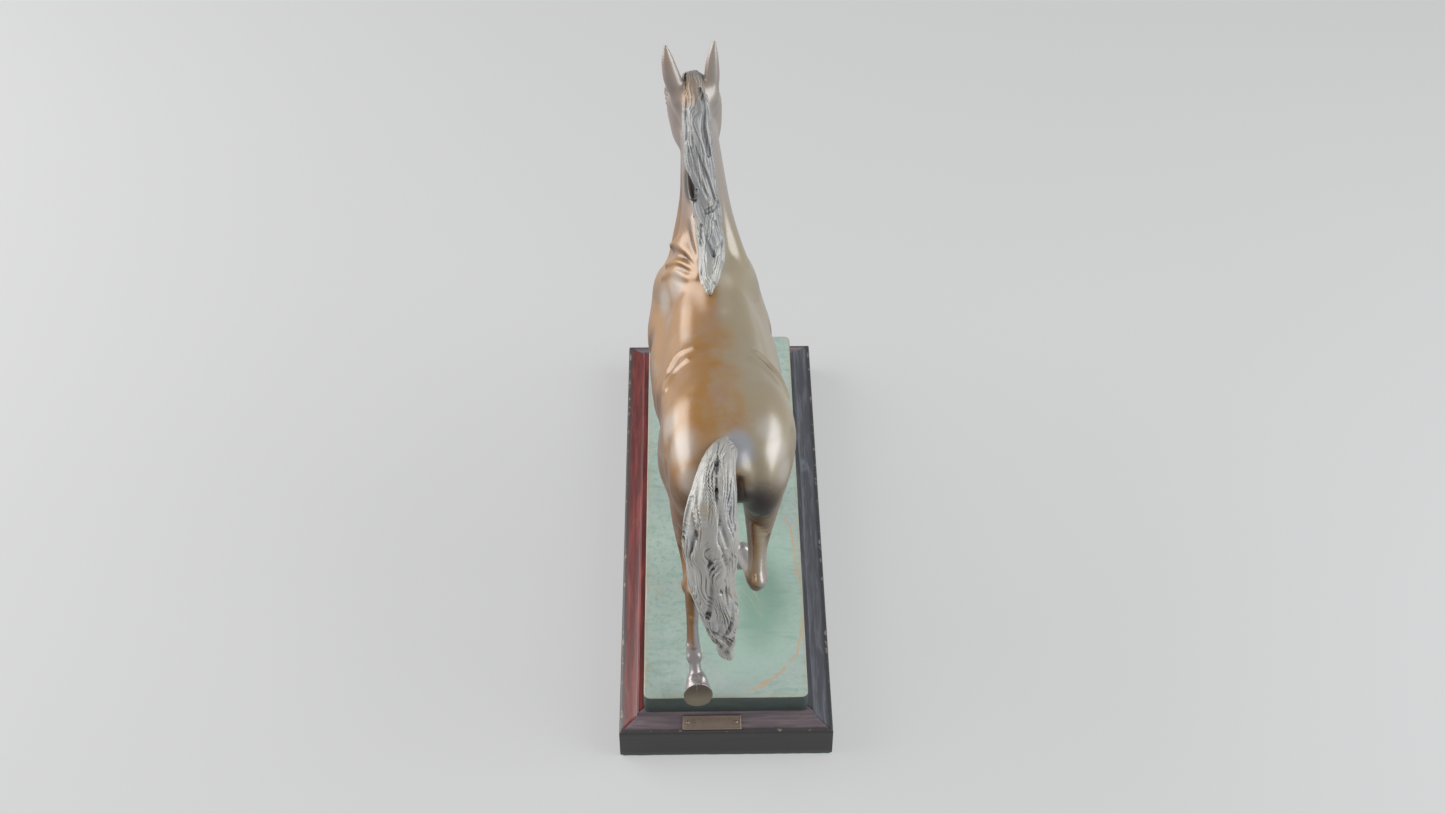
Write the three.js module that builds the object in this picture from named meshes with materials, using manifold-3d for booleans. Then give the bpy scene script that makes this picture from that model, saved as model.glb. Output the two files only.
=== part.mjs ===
// Bronze statuette of a trotting horse on a bronze ground slab and a mitred wooden plinth.
// Millimetres, +Z up, the horse faces +Y. The origin is the centre of the baize underside.
import * as THREE from 'three';
import { mergeVertices } from 'three/addons/utils/BufferGeometryUtils.js';
import Module from 'manifold-3d';

const wasm = await Module();
wasm.setup();

// Gap kept between pieces that touch, and the wider one round loose fasteners.
const GAP = 0.3;
const CLEAR = 0.4;

// Plinth: four mitred rails round a core board.
const PLINTH_WIDTH = 150;
const PLINTH_LENGTH = 394;
const BAIZE_THICKNESS = 1.2;
const SHOULDER_HEIGHT = 27.2;
const SHOULDER_RADIUS = 1.6;
const BEVEL_RUN = 12.6;
const BEVEL_RISE = 3.2;
const FILLET_RISE = 3.1;
const RAIL_WIDTH = 24;
const BOARD_THICKNESS = 12;
const BLOCK_LEG = 26;

// Ground slab: a shallow bronze tray, open underneath.
const SLAB_WIDTH = 115;
const SLAB_LENGTH = 368;
const SLAB_TOP = 50;
const SLAB_SKIN = 6;
const SLAB_WALL = 5;
const SLAB_CORNER = 5;
const BOSS_RADIUS = 6;
const BOSS_SIDE_INSET = 15;
const BOSS_END_INSET = 45;

// Fasteners.
const STUD_RADIUS = 2;
const STUD_PITCH = 9;
const NUT_ACROSS = 7;
const NUT_HEIGHT = 3.2;
const WASHER_RADIUS = 4.5;
const WASHER_HEIGHT = 0.8;
const SCREW_RADIUS = 2.5;
const SCREW_HEAD_RADIUS = 4.6;
const SCREW_HEAD_HEIGHT = 3;
const SCREW_WASHER_RADIUS = 6;

// Name plate on the rear bevel, left of the middle.
const PLATE_WIDTH = 41;
const PLATE_HEIGHT = 10.6;
const PLATE_THICKNESS = 0.9;
const PLATE_X = -10;
const PIN_RADIUS = 0.7;
const PIN_LENGTH = 6;
const PIN_SPACING = 34;

// The horse stands slightly askew on its slab, turned about a point behind the girth.
const HORSE_YAW = THREE.MathUtils.degToRad(5);
const HORSE_PIVOT_Y = -85;
const CASTING_WALL = 4.5;
const LEFT_EAR_SPREAD = 13.5;
const RIGHT_EAR_SPREAD = 12;
const LEFT_EAR_LEAN = THREE.MathUtils.degToRad(7);
const RIGHT_EAR_LEAN = THREE.MathUtils.degToRad(1.5);
const FORELEG_X = 17;
const LEFT_HIND_X = -26;
const RIGHT_HIND_X = 17.5;
// Rings round a casting, and how many for each station that shapes it.
const RING_SIDES = 18;
const RINGS_PER_STATION = 2;
const LEG_SIDES = 12;

const BRONZE = { color: 0xa5743c, roughness: 0.32, metalness: 1 };
const HAIR_BRONZE = { color: 0x8b8d8b, roughness: 0.45, metalness: 1 };
const SLAB_PATINA = { color: 0x93ab9d, roughness: 0.7, metalness: 0.4 };
const STEEL = { color: 0xb4b6b8, roughness: 0.35, metalness: 1 };
const RED_WOOD = { color: 0x7f3a36, roughness: 0.3, metalness: 0 };
const DARK_WOOD = { color: 0x4c4e55, roughness: 0.4, metalness: 0 };
const REAR_WOOD = { color: 0x544a4e, roughness: 0.4, metalness: 0 };
const PLAIN_WOOD = { color: 0xb18a5c, roughness: 0.8, metalness: 0 };
const PLATE_BRASS = { color: 0x84746d, roughness: 0.4, metalness: 1 };
const BAIZE = { color: 0x2f5a3c, roughness: 1, metalness: 0 };

// ---- solids ----

function solid(geometry) {
  const bare = geometry.clone();
  bare.deleteAttribute('normal');
  bare.deleteAttribute('uv');
  const merged = mergeVertices(bare, 1e-4);
  return new wasm.Manifold(new wasm.Mesh({
    numProp: 3,
    vertProperties: merged.attributes.position.array,
    triVerts: new Uint32Array(merged.index.array),
  }));
}

function geometryOf(body) {
  const mesh = body.getMesh();
  const geometry = new THREE.BufferGeometry();
  geometry.setAttribute('position', new THREE.BufferAttribute(mesh.vertProperties, 3));
  geometry.setIndex(new THREE.BufferAttribute(mesh.triVerts, 1));
  geometry.computeVertexNormals();
  return geometry;
}

function cut(body, ...tools) {
  return tools.reduce((rest, tool) => rest.subtract(tool), body);
}

function join(...bodies) {
  return bodies.reduce((whole, body) => whole.add(body));
}

// The largest connected body, dropping slivers that a cut leaves on the far side.
function largest(body) {
  const pieces = body.decompose();
  return pieces.reduce((best, piece) => (piece.volume() > best.volume() ? piece : best));
}

function block(width, length, height, x, y, z) {
  const geometry = new THREE.BoxGeometry(width, length, height);
  geometry.translate(x, y, z + height / 2);
  return solid(geometry);
}

// An upright cylinder standing on z.
function post(radius, height, x, y, z, sides = 16) {
  const geometry = new THREE.CylinderGeometry(radius, radius, height, sides);
  geometry.rotateX(Math.PI / 2);
  geometry.translate(x, y, z + height / 2);
  return solid(geometry);
}

function roundedRectangle(width, length, radius) {
  const shape = new THREE.Shape();
  const right = width / 2;
  const front = length / 2;
  shape.moveTo(-right + radius, -front);
  shape.lineTo(right - radius, -front);
  shape.absarc(right - radius, -front + radius, radius, -Math.PI / 2, 0);
  shape.lineTo(right, front - radius);
  shape.absarc(right - radius, front - radius, radius, 0, Math.PI / 2);
  shape.lineTo(-right + radius, front);
  shape.absarc(-right + radius, front - radius, radius, Math.PI / 2, Math.PI);
  shape.lineTo(-right, -front + radius);
  shape.absarc(-right + radius, -front + radius, radius, Math.PI, Math.PI * 1.5);
  return shape;
}

function slabOf(shape, height, z) {
  const geometry = new THREE.ExtrudeGeometry(shape, { depth: height, bevelEnabled: false, curveSegments: 6 });
  geometry.translate(0, 0, z);
  return solid(geometry);
}

// ---- lofted castings ----

// Adds in-between stations on a smooth curve. A station is [x, y, z, half width, half depth].
function refine(stations, perStation) {
  const centres = new THREE.CatmullRomCurve3(stations.map((s) => new THREE.Vector3(s[0], s[1], s[2])));
  const sizes = new THREE.CatmullRomCurve3(stations.map((s) => new THREE.Vector3(s[3], s[4], 0)));
  centres.curveType = 'catmullrom';
  sizes.curveType = 'catmullrom';
  const count = (stations.length - 1) * perStation;
  const fine = [];
  for (let i = 0; i <= count; i++) {
    const centre = centres.getPoint(i / count);
    const size = sizes.getPoint(i / count);
    fine.push([centre.x, centre.y, centre.z, size.x, size.y]);
  }
  return fine;
}

// A closed body through elliptical rings, each square to the line through the ring centres.
// Half width is measured across the horse, half depth in its plane of travel.
function loft(stations, { grow = 0, perStation = RINGS_PER_STATION, sides = RING_SIDES } = {}) {
  const rings = refine(stations, perStation);
  const positions = [];
  const index = [];
  const across = new THREE.Vector3(1, 0, 0);
  const centreAt = (i) => new THREE.Vector3(rings[i][0], rings[i][1], rings[i][2]);
  const last = rings.length - 1;
  for (let i = 0; i <= last; i++) {
    const travel = centreAt(Math.min(i + 1, last)).sub(centreAt(Math.max(i - 1, 0))).normalize();
    const depth = new THREE.Vector3().crossVectors(travel, across).normalize();
    const width = new THREE.Vector3().crossVectors(depth, travel);
    const ends = (i === last ? 1 : 0) - (i === 0 ? 1 : 0);
    const centre = centreAt(i).addScaledVector(travel, ends * grow);
    for (let j = 0; j < sides; j++) {
      const angle = (j / sides) * Math.PI * 2;
      const point = centre.clone();
      point.addScaledVector(width, Math.cos(angle) * (rings[i][3] + grow));
      point.addScaledVector(depth, Math.sin(angle) * (rings[i][4] + grow));
      positions.push(point.x, point.y, point.z);
    }
  }
  for (let i = 0; i < last; i++) {
    for (let j = 0; j < sides; j++) {
      const a = i * sides + j;
      const b = i * sides + ((j + 1) % sides);
      index.push(a, a + sides, b, b, a + sides, b + sides);
    }
  }
  for (let j = 1; j < sides - 1; j++) {
    index.push(0, j, j + 1);
    const top = last * sides;
    index.push(top, top + j + 1, top + j);
  }
  const geometry = new THREE.BufferGeometry();
  geometry.setAttribute('position', new THREE.Float32BufferAttribute(positions, 3));
  geometry.setIndex(index);
  const body = solid(geometry);
  if (body.volume() > 0) {
    return body;
  }
  geometry.setIndex(index.map((_, k) => index[k - (k % 3) + [0, 2, 1][k % 3]]));
  return solid(geometry);
}

// ---- the horse, in its own upright plane: x across, y forward, z up ----

const TRUNK = [
  [0, -172, 240, 5, 6],
  [0, -168, 241, 25, 17],
  [0, -156, 239, 38, 28],
  [0, -136, 233, 43.5, 42],
  [0, -110, 227, 45, 52],
  [0, -85, 224, 44.5, 52],
  [0, -58, 219, 45.5, 50],
  [0, -28, 217, 46.5, 51],
  [0, 0, 219, 44, 55],
  [0, 22, 222, 41, 57],
  [0, 42, 222, 38.5, 54],
  [0, 60, 222, 34, 44],
  [0, 73, 222, 20, 28],
  [0, 79, 222, 6, 8],
];
const NECK = [
  [0, 22, 232, 33, 44],
  [0, 38, 254, 28.5, 38],
  [0, 53, 280, 22, 32],
  [-1, 67, 306, 16.8, 28],
  [-2, 78, 330, 14.8, 24],
  [-3, 84, 344, 14, 20],
];
const HEAD = [
  [-2.6, 82, 366, 9, 9],
  [-2.6, 88, 359, 16.5, 17],
  [-2.6, 98, 348, 18.8, 22.5],
  [-2.6, 110, 332, 17.4, 21.5],
  [-3, 121, 320, 13, 16.5],
  [-3.5, 134, 307, 9.8, 12],
  [-3.5, 143, 296.5, 9.8, 10.5],
  [-3.5, 148, 291, 5, 6],
];
const EAR = [
  [0, 89, 360, 4.6, 4.6],
  [0, 91, 373, 5.6, 4.2],
  [0, 94.5, 390, 4, 2.6],
  [0, 97, 402, 0.8, 0.7],
];
const MANE = [
  [-3, 103, 366, 5, 4],
  [-3, 91, 374, 6.5, 6],
  [-2, 76, 368, 8, 10],
  [1, 58, 346, 9, 14],
  [4, 40, 320, 10, 15],
  [3, 22, 299, 10, 13],
  [0, 2, 285, 8.5, 9],
  [-2, -20, 277.5, 4, 4],
];
const TAIL = [
  [-4, -142, 259, 8, 8],
  [-8, -158, 265, 10, 8],
  [-14, -180, 259, 15, 10],
  [-18.5, -197, 236, 18.8, 12],
  [-20.5, -208, 205, 18, 12],
  [-17.5, -214, 172, 12.5, 10],
  [-11.5, -213, 147, 6.5, 7],
  [-9, -211, 135, 3, 3],
];
// Left hind leg, trailing, its toe just clear of the ground behind the slab.
const LEFT_HIND = [
  [LEFT_HIND_X + 2, -124, 214, 15, 26],
  [LEFT_HIND_X, -121, 190, 14.5, 25],
  [LEFT_HIND_X - 2, -126, 168, 11, 18],
  [LEFT_HIND_X - 2, -139, 150, 7.6, 13],
  [LEFT_HIND_X - 2, -153, 135, 6.4, 10],
  [LEFT_HIND_X - 3, -158, 119, 5, 6],
  [LEFT_HIND_X - 3.5, -163, 100, 4.4, 4.8],
  [LEFT_HIND_X - 3.5, -168, 84, 5.4, 6.4],
  [LEFT_HIND_X - 3.2, -175, 76, 3.9, 4.8],
  [LEFT_HIND_X - 3, -180, 71.5, 7.4, 7.5],
  [LEFT_HIND_X - 2.5, -190, 65.5, 9.7, 10],
  [LEFT_HIND_X - 2.5, -191.2, 65, 9.4, 9.6],
];
// Right hind leg, swinging forward with the hock flexed and the hoof under the belly.
const RIGHT_HIND = [
  [RIGHT_HIND_X + 6, -120, 214, 15, 26],
  [RIGHT_HIND_X + 5, -114, 190, 14.5, 25],
  [RIGHT_HIND_X + 4, -117, 165, 11, 18],
  [RIGHT_HIND_X + 1, -131, 146, 7, 13],
  [RIGHT_HIND_X, -144, 133, 6.6, 10],
  [RIGHT_HIND_X - 0.5, -138, 122, 5.6, 8.5],
  [RIGHT_HIND_X - 1, -119, 111, 4.6, 5],
  [RIGHT_HIND_X - 1.5, -97, 98, 5.6, 6.6],
  [RIGHT_HIND_X, -89, 88, 4, 4.8],
  [RIGHT_HIND_X + 1, -84.5, 81, 7, 7.5],
  [RIGHT_HIND_X + 2, -79, 72, 9.4, 10],
  [RIGHT_HIND_X + 2, -78.4, 70.8, 9.2, 9.8],
];
// Right foreleg, planted: it carries the horse.
const RIGHT_FORE = [
  [FORELEG_X + 6, 26, 206, 13, 24],
  [FORELEG_X + 4, 20, 186, 12, 20],
  [FORELEG_X + 2, 15, 164, 9.4, 13],
  [FORELEG_X, 9, 138, 6.6, 8],
  [FORELEG_X, 5, 122, 6.8, 7.4],
  [FORELEG_X, 1, 108, 4.8, 5.4],
  [FORELEG_X, -3, 94, 4.4, 5],
  [FORELEG_X, -6, 82, 5.6, 6.4],
  [FORELEG_X, -1, 71.5, 4.2, 4.8],
  [FORELEG_X, 3, 64, 7.6, 8],
  [FORELEG_X, 6, 51.5, 9.6, 10.4],
  [FORELEG_X, 7, SLAB_TOP - 3, 9.8, 10.6],
];
// Left foreleg, lifted: forearm forward, knee bent, hoof tucked back.
const LEFT_FORE = [
  [-FORELEG_X - 6, 30, 206, 13, 24],
  [-FORELEG_X - 5, 34, 190, 12, 19],
  [-FORELEG_X - 3, 50, 179, 9.6, 13.5],
  [-FORELEG_X, 72, 170, 6.8, 8.6],
  [-FORELEG_X, 86, 163, 6.8, 8.6],
  [-FORELEG_X, 88, 151, 5, 5.8],
  [-FORELEG_X, 84, 136, 4.4, 5],
  [-FORELEG_X, 79, 123, 5.6, 6.4],
  [-FORELEG_X, 70.5, 115, 4.1, 4.8],
  [-FORELEG_X, 65, 109, 7.2, 7.6],
  [-FORELEG_X, 56, 101, 9.4, 10],
  [-FORELEG_X, 55, 100, 9.2, 9.8],
];

const NECK_SEAM = new THREE.Vector3(0, 44, 262);
const NECK_SEAM_TILT = THREE.MathUtils.degToRad(-33);

// A big block whose lower face lies on a sloping seam, to take away all that is above it.
function above(seam, tilt, lift) {
  const geometry = new THREE.BoxGeometry(200, 300, 300);
  geometry.translate(0, 0, 150 + lift);
  geometry.rotateX(tilt);
  geometry.translate(seam.x, seam.y, seam.z);
  return solid(geometry);
}

function below(seam, tilt, drop) {
  const geometry = new THREE.BoxGeometry(200, 300, 300);
  geometry.translate(0, 0, -150 - drop);
  geometry.rotateX(tilt);
  geometry.translate(seam.x, seam.y, seam.z);
  return solid(geometry);
}

// Hollow trunk with the root of the neck, open at the neck seam.
function trunkCasting() {
  const outer = join(loft(TRUNK), loft(NECK.slice(0, 4)));
  const core = join(loft(TRUNK, { grow: -CASTING_WALL }), loft(NECK.slice(0, 4), { grow: -CASTING_WALL }));
  const mouth = above(NECK_SEAM, NECK_SEAM_TILT, -GAP / 2);
  return largest(cut(outer, core, mouth));
}

// Hollow neck between the two seams, open at both ends.
function neckCasting() {
  const tube = cut(loft(NECK), loft(NECK, { grow: -CASTING_WALL }));
  const keepClear = join(headSolid(GAP), below(NECK_SEAM, NECK_SEAM_TILT, -GAP / 2));
  return largest(cut(tube, keepClear));
}

// An ear, leaning out by a few degrees about its own foot.
function earSolid(side, grow = 0) {
  const foot = EAR[0][2];
  const spread = side > 0 ? RIGHT_EAR_SPREAD : LEFT_EAR_SPREAD;
  const lean = side > 0 ? RIGHT_EAR_LEAN : LEFT_EAR_LEAN;
  const geometry = geometryOf(loft(EAR, { grow, sides: 10 }));
  geometry.translate(0, 0, -foot);
  geometry.rotateY(side * lean);
  geometry.translate(HEAD[0][0] + side * spread, 0, foot);
  return solid(geometry);
}

function headSolid(grow = 0) {
  return join(loft(HEAD, { grow }), earSolid(-1, grow), earSolid(1, grow));
}

// Everything that the mane and tail lie against, grown by the gap.
function bodyEnvelope() {
  return join(loft(TRUNK, { grow: GAP }), loft(NECK, { grow: GAP }), headSolid(GAP));
}

function maneCasting() {
  return largest(cut(loft(MANE, { sides: 14 }), bodyEnvelope()));
}

function tailCasting() {
  return largest(cut(loft(TAIL, { sides: 16 }), loft(TRUNK, { grow: GAP })));
}

function legCasting(stations) {
  return largest(cut(loft(stations, { sides: LEG_SIDES }), loft(TRUNK, { grow: GAP })));
}

// Turns a point or a body from the horse's plane into the plinth's frame.
function placeHorse(body) {
  const geometry = geometryOf(body);
  geometry.translate(0, -HORSE_PIVOT_Y, 0);
  geometry.rotateZ(HORSE_YAW);
  geometry.translate(0, HORSE_PIVOT_Y, 0);
  return geometry;
}

function standOnSlab(x, y) {
  const point = new THREE.Vector3(x, y - HORSE_PIVOT_Y, 0);
  point.applyAxisAngle(new THREE.Vector3(0, 0, 1), HORSE_YAW);
  point.y += HORSE_PIVOT_Y;
  return point;
}

const STUDS = [-1, 1].map((end) => standOnSlab(FORELEG_X, 6 + (end * STUD_PITCH) / 2));
const STUD_TOP = SLAB_TOP + 9;
const CAVITY_TOP = SLAB_TOP - SLAB_SKIN;

// ---- ground slab and what holds it ----

const BOARD_TOP = SHOULDER_HEIGHT + BEVEL_RISE + FILLET_RISE;
const SLAB_FOOT = BOARD_TOP + GAP;
const BOSSES = [];
for (const side of [-1, 1]) {
  for (const end of [-1, 1]) {
    BOSSES.push(new THREE.Vector2(
      side * (SLAB_WIDTH / 2 - BOSS_SIDE_INSET),
      end * (SLAB_LENGTH / 2 - BOSS_END_INSET),
    ));
  }
}

function groundSlab() {
  const outline = roundedRectangle(SLAB_WIDTH, SLAB_LENGTH, SLAB_CORNER);
  const hollow = roundedRectangle(SLAB_WIDTH - SLAB_WALL * 2, SLAB_LENGTH - SLAB_WALL * 2, SLAB_CORNER / 2);
  const tray = cut(
    slabOf(outline, SLAB_TOP - SLAB_FOOT, SLAB_FOOT),
    slabOf(hollow, CAVITY_TOP - SLAB_FOOT + 1, SLAB_FOOT - 1),
  );
  const posts = BOSSES.map((b) => post(BOSS_RADIUS, CAVITY_TOP - SLAB_FOOT + 1, b.x, b.y, SLAB_FOOT));
  const tapDepth = CAVITY_TOP - SLAB_FOOT - 1;
  const taps = BOSSES.map((b) => post(SCREW_RADIUS + GAP, tapDepth, b.x, b.y, SLAB_FOOT - 1));
  const studHoles = STUDS.map((s) => post(STUD_RADIUS + GAP, SLAB_SKIN + 4, s.x, s.y, CAVITY_TOP - 2));
  return cut(join(tray, ...posts), ...taps, ...studHoles);
}

function hoofStud(at) {
  const foot = CAVITY_TOP - WASHER_HEIGHT - NUT_HEIGHT - 2.4;
  return post(STUD_RADIUS, STUD_TOP - foot, at.x, at.y, foot);
}

function hoofWasher(at) {
  const z = CAVITY_TOP - GAP - WASHER_HEIGHT;
  const disc = post(WASHER_RADIUS - 0.2, WASHER_HEIGHT, at.x, at.y, z);
  return cut(disc, post(STUD_RADIUS + GAP, WASHER_HEIGHT + 2, at.x, at.y, z - 1));
}

function hoofNut(at) {
  const z = CAVITY_TOP - GAP * 2 - WASHER_HEIGHT - NUT_HEIGHT;
  const hexagon = post(NUT_ACROSS / Math.sqrt(3), NUT_HEIGHT, at.x, at.y, z, 6);
  return cut(hexagon, post(STUD_RADIUS + GAP, NUT_HEIGHT + 2, at.x, at.y, z - 1));
}

// ---- plinth ----

const BOARD_FOOT = BOARD_TOP - BOARD_THICKNESS;
const BOARD_WIDTH = PLINTH_WIDTH - RAIL_WIDTH * 2 - GAP * 2;
const BOARD_LENGTH = PLINTH_LENGTH - RAIL_WIDTH * 2 - GAP * 2;

// Moulding profile: u runs inward from the outer face, v upward from the plinth's underside.
function railProfile() {
  const shape = new THREE.Shape();
  const foot = BAIZE_THICKNESS + GAP;
  shape.moveTo(0, foot);
  shape.lineTo(RAIL_WIDTH, foot);
  shape.lineTo(RAIL_WIDTH, BOARD_TOP);
  shape.lineTo(BEVEL_RUN + 0.8, BOARD_TOP);
  shape.lineTo(BEVEL_RUN, SHOULDER_HEIGHT + BEVEL_RISE);
  shape.lineTo(SHOULDER_RADIUS, SHOULDER_HEIGHT);
  shape.quadraticCurveTo(0, SHOULDER_HEIGHT, 0, SHOULDER_HEIGHT - SHOULDER_RADIUS);
  return shape;
}

// A straight rail of the given outside length, mitred at both ends. Its outer face is on the XZ plane
// and it lies on the +Y side.
function mitredRail(length) {
  const profile = { depth: length, bevelEnabled: false, curveSegments: 5 };
  const geometry = new THREE.ExtrudeGeometry(railProfile(), profile);
  geometry.translate(0, 0, -length / 2);
  const inward = new THREE.Vector3(0, 1, 0);
  const upward = new THREE.Vector3(0, 0, 1);
  const along = new THREE.Vector3(1, 0, 0);
  geometry.applyMatrix4(new THREE.Matrix4().makeBasis(inward, upward, along));
  const reach = RAIL_WIDTH + 1;
  const half = length / 2 - GAP / 2;
  const outline = new THREE.Shape();
  outline.moveTo(-half - 1, -1);
  outline.lineTo(half + 1, -1);
  outline.lineTo(half - reach, reach);
  outline.lineTo(-half + reach, reach);
  return geometryOf(solid(geometry).intersect(slabOf(outline, PLINTH_WIDTH, -1)));
}

// Rails go round the plinth: turned by a number of quarter turns, set back to their edge.
function plinthRail(length, setBack, quarterTurns) {
  const geometry = mitredRail(length);
  geometry.translate(0, -setBack, 0);
  geometry.rotateZ((quarterTurns * Math.PI) / 2);
  return geometry;
}

function coreBoard() {
  const board = block(BOARD_WIDTH, BOARD_LENGTH, BOARD_THICKNESS, 0, 0, BOARD_FOOT);
  const holes = BOSSES.map((b) => post(SCREW_RADIUS + CLEAR, BOARD_THICKNESS + 2, b.x, b.y, BOARD_FOOT - 1));
  const relief = STUDS.map((s) => post(NUT_ACROSS, BOARD_THICKNESS, s.x, s.y, BOARD_TOP - 3));
  return geometryOf(cut(board, ...holes, ...relief));
}

// Triangular block glued under the board in a corner of the frame.
function cornerBlock(side, end) {
  const inX = BOARD_WIDTH / 2;
  const inY = BOARD_LENGTH / 2;
  const height = BOARD_FOOT - GAP - BAIZE_THICKNESS - GAP;
  const outline = new THREE.Shape();
  outline.moveTo(0, 0);
  outline.lineTo(-BLOCK_LEG, 0);
  outline.lineTo(0, -BLOCK_LEG);
  outline.closePath();
  const geometry = new THREE.ExtrudeGeometry(outline, { depth: height, bevelEnabled: false });
  const turns = { '1,1': 0, '-1,1': 1, '-1,-1': 2, '1,-1': 3 };
  geometry.rotateZ((turns[`${side},${end}`] * Math.PI) / 2);
  geometry.translate(side * inX, end * inY, BAIZE_THICKNESS + GAP);
  return geometry;
}

const SCREW_TIP = CAVITY_TOP - 2;
const SCREW_SEAT = BOARD_FOOT - GAP;

function slabScrew(at) {
  const washerFoot = SCREW_SEAT - WASHER_HEIGHT;
  const headTop = washerFoot - GAP;
  const head = post(SCREW_HEAD_RADIUS, SCREW_HEAD_HEIGHT, at.x, at.y, headTop - SCREW_HEAD_HEIGHT);
  const shank = post(SCREW_RADIUS, SCREW_TIP - headTop + 1, at.x, at.y, headTop - 1);
  const slot = block(SCREW_HEAD_RADIUS * 3, 1.2, 1.2, at.x, at.y, headTop - SCREW_HEAD_HEIGHT - 0.1);
  return geometryOf(cut(join(head, shank), slot));
}

function slabWasher(at) {
  const z = SCREW_SEAT - WASHER_HEIGHT;
  const disc = post(SCREW_WASHER_RADIUS, WASHER_HEIGHT, at.x, at.y, z);
  return geometryOf(cut(disc, post(SCREW_RADIUS + GAP, WASHER_HEIGHT + 2, at.x, at.y, z - 1)));
}

function baizeSheet() {
  return geometryOf(slabOf(roundedRectangle(PLINTH_WIDTH - 1, PLINTH_LENGTH - 1, 2), BAIZE_THICKNESS, 0));
}

// ---- name plate: blank, lying on the rear bevel ----

const BEVEL_SLOPE = Math.atan2(BEVEL_RISE, BEVEL_RUN - SHOULDER_RADIUS);
const PLATE_CENTRE = new THREE.Vector3(
  PLATE_X,
  -PLINTH_LENGTH / 2 + (SHOULDER_RADIUS + BEVEL_RUN) / 2,
  SHOULDER_HEIGHT + BEVEL_RISE / 2,
);

// Lays a piece made flat on XY, its underside at z = 0, on the rear bevel.
function onBevel(geometry, lift) {
  geometry.translate(0, 0, lift);
  geometry.rotateX(BEVEL_SLOPE);
  geometry.translate(PLATE_CENTRE.x, PLATE_CENTRE.y, PLATE_CENTRE.z);
  return geometry;
}

function namePlate() {
  const plate = slabOf(roundedRectangle(PLATE_WIDTH, PLATE_HEIGHT, 0.6), PLATE_THICKNESS, 0);
  const holes = [-1, 1].map((end) => post(PIN_RADIUS + GAP, 4, (end * PIN_SPACING) / 2, 0, -1, 12));
  return onBevel(geometryOf(cut(plate, ...holes)), GAP);
}

// Round-headed pin: a dome on the plate and a shank in the wood.
function platePin(end) {
  const top = PLATE_THICKNESS + GAP * 2;
  const head = 1.3;
  const points = [
    new THREE.Vector2(0, top - PIN_LENGTH),
    new THREE.Vector2(PIN_RADIUS, top - PIN_LENGTH + 1),
    new THREE.Vector2(PIN_RADIUS, top),
    new THREE.Vector2(head, top),
    new THREE.Vector2(head * 0.75, top + 0.5),
    new THREE.Vector2(0, top + 0.7),
  ];
  const geometry = new THREE.LatheGeometry(points, 12);
  geometry.rotateX(Math.PI / 2);
  geometry.translate((end * PIN_SPACING) / 2, 0, 0);
  return onBevel(geometry, 0);
}

// Drilled for the two pins of the name plate.
function rearRail() {
  const rail = solid(plinthRail(PLINTH_WIDTH, PLINTH_LENGTH / 2, 0));
  const holes = [-1, 1].map((end) => {
    const geometry = new THREE.CylinderGeometry(PIN_RADIUS + GAP, PIN_RADIUS + GAP, PIN_LENGTH * 2, 12);
    geometry.rotateX(Math.PI / 2);
    geometry.translate((end * PIN_SPACING) / 2, 0, 0);
    return solid(onBevel(geometry, 0));
  });
  return geometryOf(cut(rail, ...holes));
}

// ---- assembly ----

const statuette = new THREE.Group();

function add(name, geometry, look) {
  const mesh = new THREE.Mesh(geometry, new THREE.MeshStandardMaterial(look));
  mesh.name = name;
  statuette.add(mesh);
}

// The planted foreleg: its hoof is cut off flat just above the slab and drilled for the studs.
function plantedLeg(leg) {
  const ground = block(SLAB_WIDTH, SLAB_LENGTH, SLAB_TOP, 0, 0, GAP);
  const holes = STUDS.map((s) => post(STUD_RADIUS + GAP, STUD_TOP - SLAB_TOP + 1, s.x, s.y, SLAB_TOP));
  return geometryOf(cut(solid(placeHorse(leg)), ground, ...holes));
}

add('trunk_casting', placeHorse(trunkCasting()), BRONZE);
add('neck_casting', placeHorse(neckCasting()), BRONZE);
add('head_casting', placeHorse(headSolid()), BRONZE);
add('mane_casting', placeHorse(maneCasting()), HAIR_BRONZE);
add('tail_casting', placeHorse(tailCasting()), HAIR_BRONZE);
add('left_hind_leg', placeHorse(legCasting(LEFT_HIND)), BRONZE);
add('right_hind_leg', placeHorse(legCasting(RIGHT_HIND)), BRONZE);
add('left_foreleg', placeHorse(legCasting(LEFT_FORE)), BRONZE);
add('right_foreleg', plantedLeg(legCasting(RIGHT_FORE)), BRONZE);

add('ground_slab', geometryOf(groundSlab()), SLAB_PATINA);
const STUD_NAMES = ['heel', 'toe'];
STUDS.forEach((at, i) => {
  add(`hoof_stud_${STUD_NAMES[i]}`, geometryOf(hoofStud(at)), STEEL);
  add(`hoof_washer_${STUD_NAMES[i]}`, geometryOf(hoofWasher(at)), STEEL);
  add(`hoof_nut_${STUD_NAMES[i]}`, geometryOf(hoofNut(at)), STEEL);
});

add('rear_rail', rearRail(), REAR_WOOD);
add('right_rail', plinthRail(PLINTH_LENGTH, PLINTH_WIDTH / 2, 1), DARK_WOOD);
add('front_rail', plinthRail(PLINTH_WIDTH, PLINTH_LENGTH / 2, 2), REAR_WOOD);
add('left_rail', plinthRail(PLINTH_LENGTH, PLINTH_WIDTH / 2, 3), RED_WOOD);
add('core_board', coreBoard(), PLAIN_WOOD);
const CORNER_NAMES = ['rear_left', 'front_left', 'rear_right', 'front_right'];
BOSSES.forEach((at, i) => {
  add(`slab_screw_${CORNER_NAMES[i]}`, slabScrew(at), STEEL);
  add(`slab_washer_${CORNER_NAMES[i]}`, slabWasher(at), STEEL);
  add(`corner_block_${CORNER_NAMES[i]}`, cornerBlock(Math.sign(at.x), Math.sign(at.y)), PLAIN_WOOD);
});
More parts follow.
